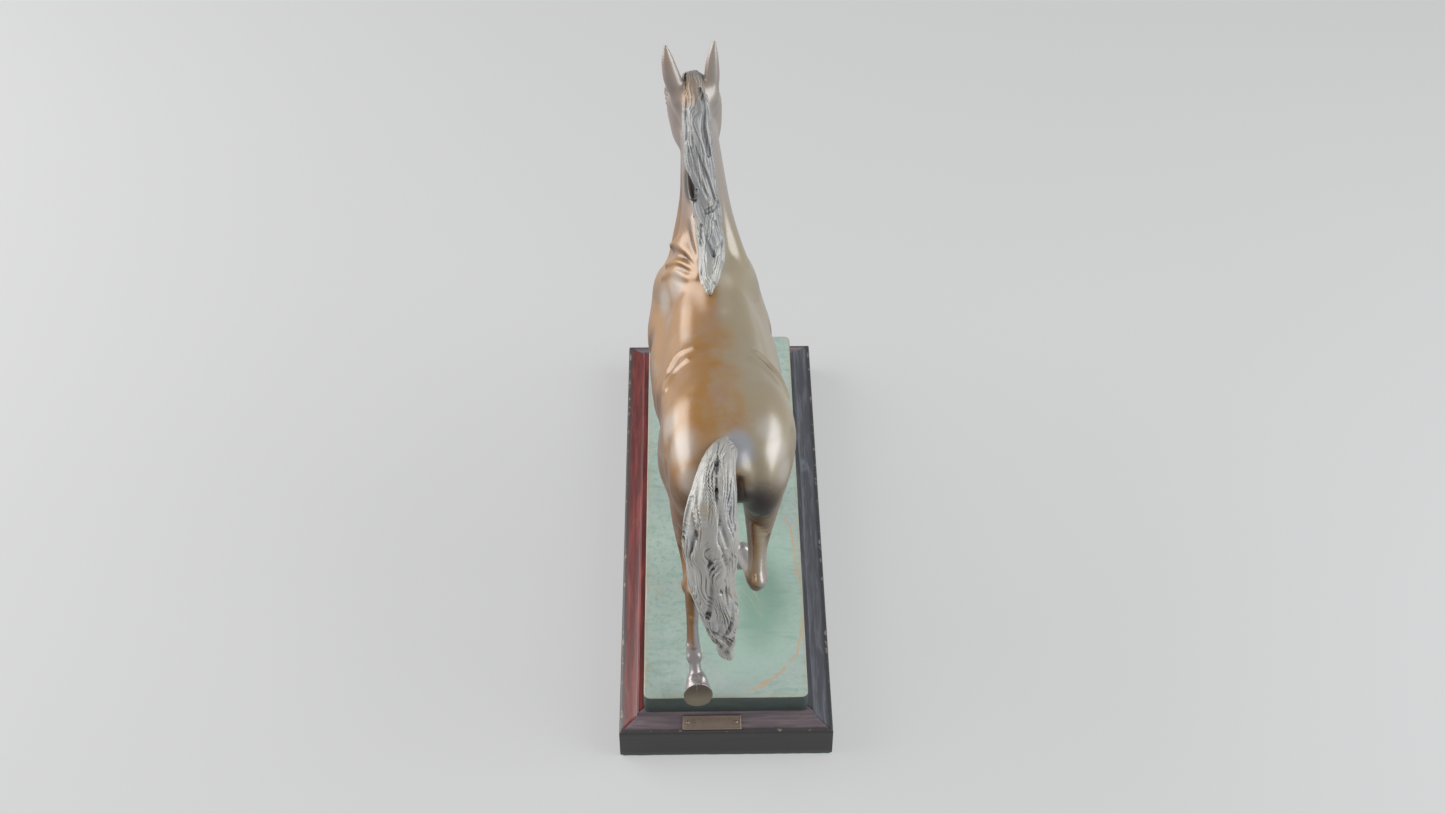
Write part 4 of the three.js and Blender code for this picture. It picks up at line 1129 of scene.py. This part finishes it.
def on_bevel(points):
    """Lays plaque points, made flat about the origin, on the rear bevel."""
    slope = math.atan2(BEVEL_RISE, 11.0)
    c, s = math.cos(slope), math.sin(slope)
    out = np.array(points, float)
    out[..., 1] = points[..., 1] * c - points[..., 2] * s
    out[..., 2] = points[..., 1] * s + points[..., 2] * c
    return out + vec(*PLATE_PLACE)


def make_plaque():
    rings = []
    for inset, height in ((0.3, 0.32), (0.05, 0.4), (0, 0.55), (0, 0.9), (0.12, 1.08), (0.35, 1.17),
                          (0.8, 1.2), (1.15, 1.12), (1.5, 1.1), (3, 1.12), (4.6, 1.13)):
        ring = rounded_outline(PLATE_HALF[0] - inset, PLATE_HALF[1] - inset, max(0.62 - inset, 0.35), 14, 5)
        rings.append(np.column_stack([ring, np.full(len(ring), height)]))
    obj = patch("plaque_plate", on_bevel(np.array(rings)))
    shade_by_angle(obj, 50)
    return obj


def make_pin(side):
    rings = []
    for radius, height in ((0.5, -4), (0.62, -3.5), (0.62, 1.15), (1.3, 1.15), (1.32, 1.25), (1.24, 1.45),
                           (1.0, 1.68), (0.62, 1.84), (0.2, 1.9)):
        t = np.arange(PIN_SIDES) / PIN_SIDES * 2 * math.pi
        rings.append(np.column_stack([side * PIN_REACH + radius * np.cos(t), radius * np.sin(t),
                                      np.full(PIN_SIDES, height)]))
    obj = patch("plaque_pin_" + ("left" if side < 0 else "right"), on_bevel(np.array(rings)))
    shade_by_angle(obj, 50)
    return obj


BAIZE_SIZE = (0.149, 0.393)


def make_baize():
    dice = np.random.default_rng(8)
    thick = box_mm("baize_underside")[1][2]
    rings = []
    half_x, half_y = BAIZE_SIZE[0] / MM / 2, BAIZE_SIZE[1] / MM / 2
    fluff = dice.uniform(-0.06, 0.06, 4 * (40 + 1) + 4 * 3)
    for inset, height in ((60, 0.02), (30, 0.02), (3, 0.02), (0.35, 0.02), (0.06, 0.2), (0, thick * 0.5),
                          (0.06, thick - 0.2), (0.35, thick - 0.02), (3, thick), (30, thick), (60, thick)):
        ring = rounded_outline(half_x - inset, half_y - inset, max(2 - inset, 0.4), 40, 4)
        ring = ring * (1 - fluff[:len(ring), None] * (inset < 1) / 100)
        rings.append(np.column_stack([ring, np.full(len(ring), height)]))
    return patch("baize_cloth", np.array(rings))


# ---------------------------------------------------------------- finishes

def shade(code):
    """A colour as the eye reads it, from six hex digits, to linear light."""
    parts = [int(code[k:k + 2], 16) / 255 for k in (0, 2, 4)]
    return tuple(v / 12.92 if v <= 0.04045 else ((v + 0.055) / 1.055) ** 2.4 for v in parts) + (1.0,)


class Finish:
    """One material, with its nodes made and wired in a few words each."""

    def __init__(self, name, metallic=0.0, roughness=0.5, **settings):
        self.material = bpy.data.materials.new(name)
        self.material.use_nodes = True
        self.nodes = self.material.node_tree.nodes
        self.links = self.material.node_tree.links
        self.shader = self.nodes["Principled BSDF"]
        self.shader.inputs["Metallic"].default_value = metallic
        self.shader.inputs["Roughness"].default_value = roughness
        for key, value in settings.items():
            self.shader.inputs[key.replace("_", " ")].default_value = value
        self.place = self.add("ShaderNodeTexCoord").outputs["Object"]
        self.facing = self.add("ShaderNodeNewGeometry").outputs["Normal"]

    def add(self, kind, wired=(), **settings):
        node = self.nodes.new(kind)
        for key, value in settings.items():
            setattr(node, key, value)
        for socket, value in dict(wired).items():
            self.feed(node.inputs[socket], value)
        return node

    def feed(self, socket, value):
        if isinstance(value, bpy.types.NodeSocket):
            self.links.new(value, socket)
        else:
            socket.default_value = value

    def math(self, operation, a, b=0.0, c=0.0):
        return self.add("ShaderNodeMath", {0: a, 1: b, 2: c}, operation=operation).outputs[0]

    def plus(self, a, b):
        return self.math("ADD", a, b)

    def minus(self, a, b):
        return self.math("SUBTRACT", a, b)

    def times(self, a, b):
        return self.math("MULTIPLY", a, b)

    def over(self, a, b):
        return self.math("DIVIDE", a, b)

    def least(self, a, b):
        return self.math("MINIMUM", a, b)

    def most(self, a, b):
        return self.math("MAXIMUM", a, b)

    def size(self, a):
        return self.math("ABSOLUTE", a)

    def axis(self, vector, k):
        return self.add("ShaderNodeSeparateXYZ", {0: vector}).outputs[k]

    def stretched(self, scale, turn=0.0):
        wired = {"Vector": self.place, "Scale": scale, "Rotation": (0, 0, turn)}
        return self.add("ShaderNodeMapping", wired).outputs[0]

    def noise(self, scale, detail=4.0, rough=0.55, warp=0.0, vector=None):
        wired = {"Vector": vector or self.place, "Scale": scale, "Detail": detail, "Roughness": rough,
                 "Distortion": warp}
        return self.add("ShaderNodeTexNoise", wired).outputs["Fac"]

    def level(self, value, low, high):
        """0 at low and 1 at high; the other way round if low is above high."""
        node = self.add("ShaderNodeMapRange", {"Value": value, "From Min": low, "From Max": high})
        node.interpolation_type = "SMOOTHSTEP"
        return node.outputs[0]

    def mix(self, amount, a, b):
        node = self.add("ShaderNodeMix", data_type="RGBA")
        self.feed(node.inputs["Factor"], amount)
        self.feed(node.inputs[6], a if isinstance(a, bpy.types.NodeSocket) else shade(a))
        self.feed(node.inputs[7], b if isinstance(b, bpy.types.NodeSocket) else shade(b))
        return node.outputs[2]

    def tint(self, tone, colour, mask, amount):
        """The tone turned towards another colour, as far as the mask and the amount say."""
        return self.mix(self.times(mask, amount), tone, colour)

    def uneven(self, value, amount, *noise):
        """The value, wandering up and down by half the amount."""
        return self.plus(value, self.times(self.minus(self.noise(*noise), 0.5), amount))

    def near(self, centre, out, full, ragged=0.0):
        """1 within `full` of a point, fading unevenly to 0 at `out`, in metres."""
        away = self.add("ShaderNodeVectorMath", {0: self.place, 1: centre}, operation="DISTANCE")
        return self.level(self.uneven(away.outputs["Value"], ragged * out, 120, 4, 0.6), out, full)

    def attribute(self, name):
        return self.add("ShaderNodeAttribute", attribute_name=name).outputs["Fac"]

    def colour(self, socket):
        self.links.new(socket, self.shader.inputs["Base Color"])

    def rough(self, value, low, high):
        """Roughness between low and high, by a value from 0 to 1."""
        node = self.add("ShaderNodeMapRange", {"Value": value, "To Min": low, "To Max": high})
        self.links.new(node.outputs[0], self.shader.inputs["Roughness"])

    def bump(self, height, depth, strength=1.0):
        """Raised detail, its depth in metres."""
        node = self.add("ShaderNodeBump", {"Height": height, "Distance": depth, "Strength": strength})
        self.links.new(node.outputs[0], self.shader.inputs["Normal"])


# Painted shade: the middle of the dark patch under the right buttock.
SHADE_UNDER_TAIL = (0.0105, -0.166, 0.222)
DOCK = (0.0075, -0.148, 0.262)
POCKET_SHADE = (-0.0214, 0.0440, 0.322)
POLL_HAIR = (-0.0225, 0.083, 0.369)
RIGHT_HIND_FETLOCK = (0.0135, -0.100, 0.100)
LEFT_HIND_SOLE = (-0.0195, -0.193, 0.0645)
SLANT, OFFSET = 0.0875, 0.0074       # the horse stands a little askew on the slab
PAINTED_HIGHLIGHTS = (                    # painted highlights: pale patches where the windows' reflections fall, and how far each reaches
    ((-0.0279, -0.1447, 0.262), 0.019), ((-0.0358, -0.1233, 0.258), 0.015),
    ((-0.0228, -0.1633, 0.250), 0.015), ((-0.0320, 0.0056, 0.266), 0.016),
    ((-0.0396, 0.0089, 0.2486), 0.016), ((0.0335, -0.1463, 0.259), 0.016),
    ((0.0286, -0.1367, 0.268), 0.014), ((0.0379, -0.1509, 0.245), 0.014),
)


def bronze_finish():
    f = Finish("waxed_bronze", IOR=1.75, Coat_Roughness=0.26)
    x, y, z = f.axis(f.place, 0), f.axis(f.place, 1), f.axis(f.place, 2)
    own_x = f.plus(x, f.plus(f.times(y, SLANT), OFFSET))
    nx, ny, nz = f.axis(f.facing, 0), f.axis(f.facing, 1), f.axis(f.facing, 2)
    clouds = f.noise(26, 5, 0.6, 0.4)
    # Orange-brown on the left and khaki on the right, by side and by facing: partly the patina's own tone,
    # partly painted light, warm from the left and cool from the right.
    lean = f.plus(f.times(nx, 0.55), f.times(own_x, 11))
    lean = f.plus(lean, f.times(f.minus(clouds, 0.5), 0.9))
    warm = f.mix(clouds, "80540c", "9c6a18")
    cool = f.mix(clouds, "8f8160", "877a66")
    tone = f.mix(f.level(lean, -0.3, 0.3), warm, cool)
    # Painted shade: steep and downward-facing surfaces turned darker brown, as less lit than the top.
    steep_shade = f.times(f.level(nz, 0.52, 0.0), 0.85)
    tone = f.mix(steep_shade, tone, f.mix(f.level(lean, -0.3, 0.3), "4c2c0e", "665641"))
    spine = f.level(f.size(f.plus(own_x, 0.004)), 0.016, 0.0)
    rosy = f.times(spine, f.level(f.noise(34, 4, 0.6, 0.6), 0.42, 0.66))
    tone = f.tint(tone, "8a6a5c", rosy, f.times(f.level(nz, 0.55, 0.95), 0.55))
    tone = f.tint(tone, "8f8a80", f.level(f.noise(60, 6, 0.65, 0.3), 0.5, 0.72), 0.3)
    # Painted shade: rear-facing surfaces of the hindquarters darker.
    rear = f.times(f.level(ny, -0.45, -0.85), f.level(nz, 0.5, 0.1))
    tone = f.tint(tone, "4a3c30", rear, f.times(f.level(z, 0.17, 0.2), 0.45))
    # Greyer on the head and upper neck: a paler patina there, and partly painted silvery reflection.
    tone = f.tint(tone, "908a88", f.level(z, 0.275, 0.32), 0.6)
    # Painted highlights: pale patches laid where reflections fall on the croup, the buttocks and the
    # shoulder.
    painted_highlight = 0.0
    for centre, out in PAINTED_HIGHLIGHTS:
        painted_highlight = f.most(painted_highlight, f.near(centre, out, out * 0.2, 0.25))
    tone = f.tint(tone, "a8a19a", painted_highlight, 0.6)
    # Painted shade: a dark patch under the right buttock, beside the tail.
    tone = f.tint(tone, "2b2725", f.near(SHADE_UNDER_TAIL, 0.036, 0.016, 0.3), 0.92)
    # Painted shade: dark inside the pocket under the mane.
    tone = f.tint(tone, "33261f", f.near(POCKET_SHADE, 0.016, 0.009, 0.3), 0.92)
    tone = f.tint(tone, "868a92", f.near(DOCK, 0.016, 0.007, 0.4), 0.85)
    # Silver, and more metallic, on the right-facing sides of the lower legs, at the low end of the left hind
    # leg and round the right hind fetlock: partly a paler patina, partly painted reflection of cool light
    # from the right.
    silver_patina_and_reflection = f.times(f.level(z, 0.17, 0.11), f.level(nx, -0.15, 0.4))
    silver_patina_and_reflection = f.most(silver_patina_and_reflection, f.times(f.level(z, 0.1, 0.085), f.level(y, -0.13, -0.15)))
    silver_patina_and_reflection = f.most(silver_patina_and_reflection, f.near(RIGHT_HIND_FETLOCK, 0.034, 0.026, 0.2))
    tone = f.tint(tone, f.mix(clouds, "7f7c7f", "a9a7aa"), silver_patina_and_reflection, 0.85)
    f.feed(f.shader.inputs["Metallic"], f.math("MULTIPLY_ADD", silver_patina_and_reflection, 0.5, 0.1))
    polish = f.level(nz, -0.1, 0.55)
    f.feed(f.shader.inputs["Specular IOR Level"], f.math("MULTIPLY_ADD", polish, 0.45, 0.12))
    f.feed(f.shader.inputs["Coat Weight"], f.math("MULTIPLY_ADD", polish, 0.4, 0.05))
    sole = f.times(f.near(LEFT_HIND_SOLE, 0.0155, 0.0135, 0.1), f.level(ny, -0.7, -0.92))
    tone = f.tint(tone, f.mix(f.level(z, 0.058, 0.072), "77705a", "4f4534"), sole, 0.9)
    # Darker brown in wide dips: patina gathered there, and painted shade.
    tone = f.tint(tone, "4a2f1e", f.level(f.attribute("dip"), 0.05, 1.0), 0.7)
    f.colour(tone)
    f.rough(f.noise(90, 5, 0.6), 0.3, 0.42)
    grain = f.noise(900, 4, 0.6)
    f.bump(f.plus(f.times(grain, 0.25), f.noise(120, 4, 0.5)), 0.00012, 0.6)
    return f.material


def hair_finish():
    f = Finish("hair_bronze", metallic=0.3, roughness=0.42, IOR=1.6)
    clouds = f.noise(70, 5, 0.6, 0.5)
    tone = f.mix(clouds, "949390", "aeaca5")
    tone = f.tint(tone, "737a88", f.level(f.noise(45, 4, 0.6, 0.8), 0.5, 0.7), 0.5)
    tone = f.tint(tone, "6e7075", f.level(f.axis(f.place, 1), -0.02, 0.03), 0.6)
    tan = f.noise(52, 4, 0.6, 1.0, f.stretched((1, 1, 0.6), 0.4))
    tone = f.tint(tone, "96805f", f.level(tan, 0.56, 0.72), 0.5)
    tone = f.tint(tone, "9a7650", f.near(POLL_HAIR, 0.018, 0.008, 0.5), 0.7)
    # Painted highlight: the raised crests of the locks paler.
    tone = f.tint(tone, "bcbab2", f.level(f.attribute("hollow"), -0.02, -0.22), 0.42)
    tone = f.tint(tone, "4c4b50", f.level(f.attribute("hollow"), 0.04, 0.4), 0.6)
    # Painted shade: near-black in the deep folds between the locks.
    tone = f.tint(tone, "37312f", f.level(f.attribute("dip"), 0.5, 2.2), 0.75)
    # Painted shade in the pocket under the mane.
    tone = f.tint(tone, "40342e", f.near(POCKET_SHADE, 0.0095, 0.006, 0.3), 0.7)
    f.colour(tone)
    f.rough(f.noise(120, 5, 0.6), 0.36, 0.56)
    f.bump(f.noise(700, 5, 0.6), 0.00015, 0.6)
    return f.material


def slab_finish():
    f = Finish("verdigris_slab", metallic=0.0, roughness=0.42, Coat_Weight=0.15, Coat_Roughness=0.3)
    x, y = f.axis(f.place, 0), f.axis(f.place, 1)
    clouds = f.noise(38, 6, 0.6, 0.6)
    fine = f.noise(260, 5, 0.65)
    tone = f.mix(clouds, "8a9f94", "a6b4ac")
    tone = f.tint(tone, "7d9387", f.level(fine, 0.46, 0.66), 0.6)
    tone = f.tint(tone, "9aa5a1", f.level(f.noise(17, 4, 0.5, 0.8), 0.42, 0.6), 0.6)

    def ring_distance(cx, cy, rx, ry, wobble):
        """0 at the middle of an oval, 1 at its edge, uneven like a stain's."""
        u = f.over(f.minus(x, cx), rx)
        ahead = f.minus(y, cy)
        v = f.plus(f.over(f.most(ahead, 0.0), ry * 1.6), f.over(f.least(ahead, 0.0), ry))
        r = f.math("SQRT", f.plus(f.times(u, u), f.times(v, v)))
        return f.uneven(r, wobble, 22, 4, 0.55)

    pool = ring_distance(0.018, -0.100, 0.038, 0.078, 0.35)
    tone = f.tint(tone, "90ac9c", f.level(pool, 1.02, 0.9), 0.45)
    tone = f.tint(tone, "6a8a79", f.level(ring_distance(0.026, -0.105, 0.024, 0.05, 0.8), 1.1, 0.3), 0.7)
    streaks = f.noise(150, 4, 0.6, 0.4, f.stretched((0.25, 1, 1)))
    tone = f.tint(tone, "6f8f80", f.level(streaks, 0.52, 0.68), 0.35)
    shore = f.level(f.size(f.minus(pool, 1.0)), 0.032, 0.0)
    vein = f.times(shore, f.level(f.noise(30, 3, 0.5), 0.34, 0.46))
    vein = f.times(vein, f.level(x, 0.008, 0.03))
    tone = f.tint(tone, "b5946c", vein, 0.75)
    crack = f.size(f.minus(f.noise(14, 5, 0.6, 0.8, f.stretched((1, 0.45, 1), 0.2)), 0.5))
    broken = f.level(f.noise(20, 3, 0.5, 0, f.stretched((1, 1, 1), 1)), 0.5, 0.62)
    thin = f.times(f.level(crack, 0.010, 0.0), broken)
    tone = f.tint(tone, "b3997a", thin, 0.55)
    low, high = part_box("ground_slab")
    edge = f.least(f.least(f.minus(x, low.x), f.minus(high.x, x)),
                   f.least(f.minus(y, low.y), f.minus(high.y, y)))
    edge = f.uneven(edge, 0.009, 70, 4, 0.6)
    tone = f.tint(tone, "a3906a", f.level(edge, 0.0045, 0.0008), 0.3)
    # The slab's sides darker than its top: painted shade, partly a darker patina there.
    side = f.mix(f.noise(60, 5, 0.6, 0.4, f.stretched((1, 1, 3))), "2f3b38", "44524c")
    f.colour(f.mix(f.level(f.axis(f.facing, 2), 0.75, 0.45), tone, side))
    f.rough(f.noise(80, 5, 0.6), 0.34, 0.6)
    f.bump(f.plus(f.noise(420, 5, 0.65), f.times(f.noise(60, 4, 0.5), 1.5)), 0.00022, 0.7)
    return f.material


def wood_finish(name, along, dark, middle, light, streak, edge, face, gloss=0.18):
    """Lacquered moulding. The grain runs along X (0) or Y (1); the edge and the upright face are darker."""
    f = Finish(name, roughness=0.34, Coat_Weight=0.25, Coat_Roughness=gloss)
    squeeze = (0.06, 1, 1) if along == 0 else (1, 0.06, 1)
    grain = f.noise(420, 6, 0.6, 0.5, f.stretched(squeeze))
    broad = f.noise(110, 4, 0.55, 0.8, f.stretched(squeeze))
    tone = f.mix(broad, dark, middle)
    tone = f.mix(f.level(grain, 0.42, 0.68), tone, light)
    lines = f.noise(1500, 3, 0.5, 0.2, f.stretched(squeeze))
    tone = f.tint(tone, dark, f.level(lines, 0.56, 0.7), 0.45)
    flame = f.noise(60, 5, 0.6, 1.4, f.stretched((0.22, 1, 1) if along == 0 else (1, 0.22, 1)))
    tone = f.tint(tone, streak, f.level(flame, 0.55, 0.72), 0.5)
    z = f.axis(f.place, 2)
    ease = f.uneven(z, 0.0006, 90, 3, 0.5)
    tone = f.mix(f.level(ease, 0.0282, 0.0274), tone, edge)
    upright = f.mix(f.times(f.noise(200, 5, 0.6, 0.2, f.stretched(squeeze)), 0.3), face, dark)
    tone = f.mix(f.level(ease, 0.0268, 0.0262), tone, upright)
    arris = f.level(f.size(f.minus(ease, 0.0271)), 0.0005, 0.0)
    worn = f.times(arris, f.level(f.noise(160, 5, 0.6), 0.56, 0.64))
    tone = f.tint(tone, "9c8a72", worn, 0.6)
    f.colour(tone)
    f.rough(grain, 0.24, 0.42)
    f.bump(f.plus(grain, f.times(lines, 0.6)), 0.00009, 0.6)
    return f.material


def plain_wood_finish():
    f = Finish("pale_deal", roughness=0.7)
    grain = f.noise(260, 6, 0.6, 0.6, f.stretched((1, 0.08, 1)))
    rings = f.noise(60, 4, 0.5, 1.2, f.stretched((1, 0.1, 1)))
    tone = f.mix(rings, "a57c4e", "c39a69")
    f.colour(f.mix(f.level(grain, 0.45, 0.7), tone, "8a6238"))
    f.rough(grain, 0.6, 0.85)
    f.bump(grain, 0.0002, 0.6)
    return f.material


def metal_finish(name, one, two, dark, roughness, scale, brushed):
    f = Finish(name, metallic=1.0, roughness=roughness)
    brush = f.noise(scale * 6, 5, 0.6, 0.2, f.stretched(brushed))
    tone = f.mix(f.noise(scale, 5, 0.6, 0.6), one, two)
    tone = f.tint(tone, dark, f.level(f.noise(scale * 2.4, 5, 0.65), 0.5, 0.7), 0.5)
    f.colour(tone)
    f.rough(brush, roughness * 0.8, roughness * 1.35)
    f.bump(brush, 0.00005, 0.5)
    return f.material


def baize_finish():
    f = Finish("green_baize", roughness=0.95, Sheen_Weight=0.4, Sheen_Roughness=0.6)
    fuzz = f.noise(2600, 4, 0.7)
    tone = f.mix(f.noise(140, 4, 0.6), "24492f", "35603f")
    f.colour(f.mix(f.level(fuzz, 0.5, 0.72), tone, "4c7a55"))
    f.rough(fuzz, 0.85, 1.0)
    f.bump(fuzz, 0.0003, 0.8)
    return f.material


def dress(obj, material):
    obj.data.materials.clear()
    obj.data.materials.append(material)


# ---------------------------------------------------------------- assembly

def stand_for(obj, slot, material, *nodes):
    dress(obj, material)
    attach(obj, "root")
    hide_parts(*nodes)


SLOT_OF = {"mane_casting": "hair_bronze", "tail_casting": "hair_bronze"}
bronze, hair = bronze_finish(), hair_finish()
for node, casting in make_horse().items():
    slot = SLOT_OF.get(node, "bronze")
    stand_for(casting, slot, hair if slot == "hair_bronze" else bronze, node)

stand_for(make_slab(), "slab_patina", slab_finish(), "ground_slab")

# One mahogany in three copies, partly different stains and partly painted light: red where lit from the left,
# slate grey in shade on the right, plum on the ends.
red = wood_finish("red_mahogany_lit", 1, "440d0a", "661a15", "7f2c25", "904c41", "3c2f2c", "1a1818")
slate = wood_finish("slate_stain_and_shade", 1, "3a3b40", "494a50", "5e6068", "7b7d88", "2c2c2f", "191a1b")
plum = wood_finish("plum_stain_and_shade", 0, "4f454a", "62565b", "706366", "856a67", "353031", "191919")
RAILS = (("rear_rail", "rear_wood", plum), ("right_rail", "dark_wood", slate),
         ("front_rail", "rear_wood", plum), ("left_rail", "red_wood", red))
for turns, (node, slot, wood) in enumerate(RAILS):
    length, across = (PLINTH_LENGTH, PLINTH_WIDTH) if turns % 2 else (PLINTH_WIDTH, PLINTH_LENGTH)
    stand_for(make_rail(node, length, across / 2, turns), slot, wood, node)

plaque_brass = metal_finish("plaque_brass", "8a7a70", "978779", "756860", 0.48, 60, (1, 6, 1))
stand_for(make_plaque(), "plate_brass", plaque_brass, "name_plate")
stand_for(make_pin(-1), "plate_brass", plaque_brass, "plate_pin_left")
stand_for(make_pin(1), "plate_brass", plaque_brass, "plate_pin_right")

baize = make_baize()
stand_for(baize, "baize", baize_finish(), "baize_underside")

steel = metal_finish("zinc_plated_steel", "b4b6b8", "9da0a4", "6c6e72", 0.33, 160, (1, 1, 5))
deal = plain_wood_finish()
for node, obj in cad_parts.items():
    if node.startswith(("hoof_", "slab_screw", "slab_washer")):
        dress(obj, steel)
    elif node.startswith(("core_board", "corner_block")):
        dress(obj, deal)


# ---------------------------------------------------------------- studio

def make_floor():
    near, far = -3.0, 5.0
    rows = [[(x, y, 0.0) for x in (near, far)] for y in (near, far)]
    obj = mesh_object("studio_floor", np.array(rows).reshape(-1, 3), np.array([[0, 1, 3, 2]]))
    f = Finish("pale_floor", roughness=0.9, Specular_IOR_Level=0.0, Emission_Color=(1, 1, 1, 1),
               Emission_Strength=0.385)
    f.colour(f.mix(f.noise(3, 2, 0.5), "7c7c7c", "7e7e7e"))
    dress(obj, f.material)


def softbox(name, place, towards, size, power, colour=(1, 1, 1)):
    light = bpy.data.lights.new(name, "AREA")
    light.shape = "RECTANGLE"
    light.size, light.size_y = size
    light.energy = power
    light.color = colour
    obj = bpy.data.objects.new(name, light)
    obj.location = place
    obj.rotation_euler = (Vector(towards) - Vector(place)).to_track_quat("-Z", "Y").to_euler()
    bpy.context.scene.collection.objects.link(obj)


def studio():
    scene = bpy.context.scene
    world = bpy.data.worlds.new("studio_air")
    scene.world = world
    world.use_nodes = True
    back = world.node_tree.nodes["Background"]
    back.inputs["Color"].default_value = (0.95, 0.97, 1.0, 1)
    back.inputs["Strength"].default_value = 0.5
    middle = (0, -0.02, 0.2)
    softbox("left_window", (-1.2, 0.2, 0.7), middle, (1.6, 1.2), 23, (1, 0.995, 0.985))
    softbox("right_window", (1.15, -0.3, 0.86), middle, (1.1, 1.2), 17, (0.97, 0.985, 1))
    scene.view_settings.view_transform = "Standard"


LENS_MM = 51.147
CAMERA_PLACE = (-0.01461, -1.05114, 1.20376)
CAMERA_TURN = (math.radians(45), 0, -0.0140)


def make_camera():
    data = bpy.data.cameras.new("photo_camera")
    data.lens = LENS_MM
    data.sensor_width = 36.0
    data.clip_start, data.clip_end = 0.05, 20
    camera = bpy.data.objects.new("photo_camera", data)
    camera.location = CAMERA_PLACE
    camera.rotation_euler = CAMERA_TURN
    bpy.context.scene.collection.objects.link(camera)
    bpy.context.scene.camera = camera


make_floor()
studio()
make_camera()
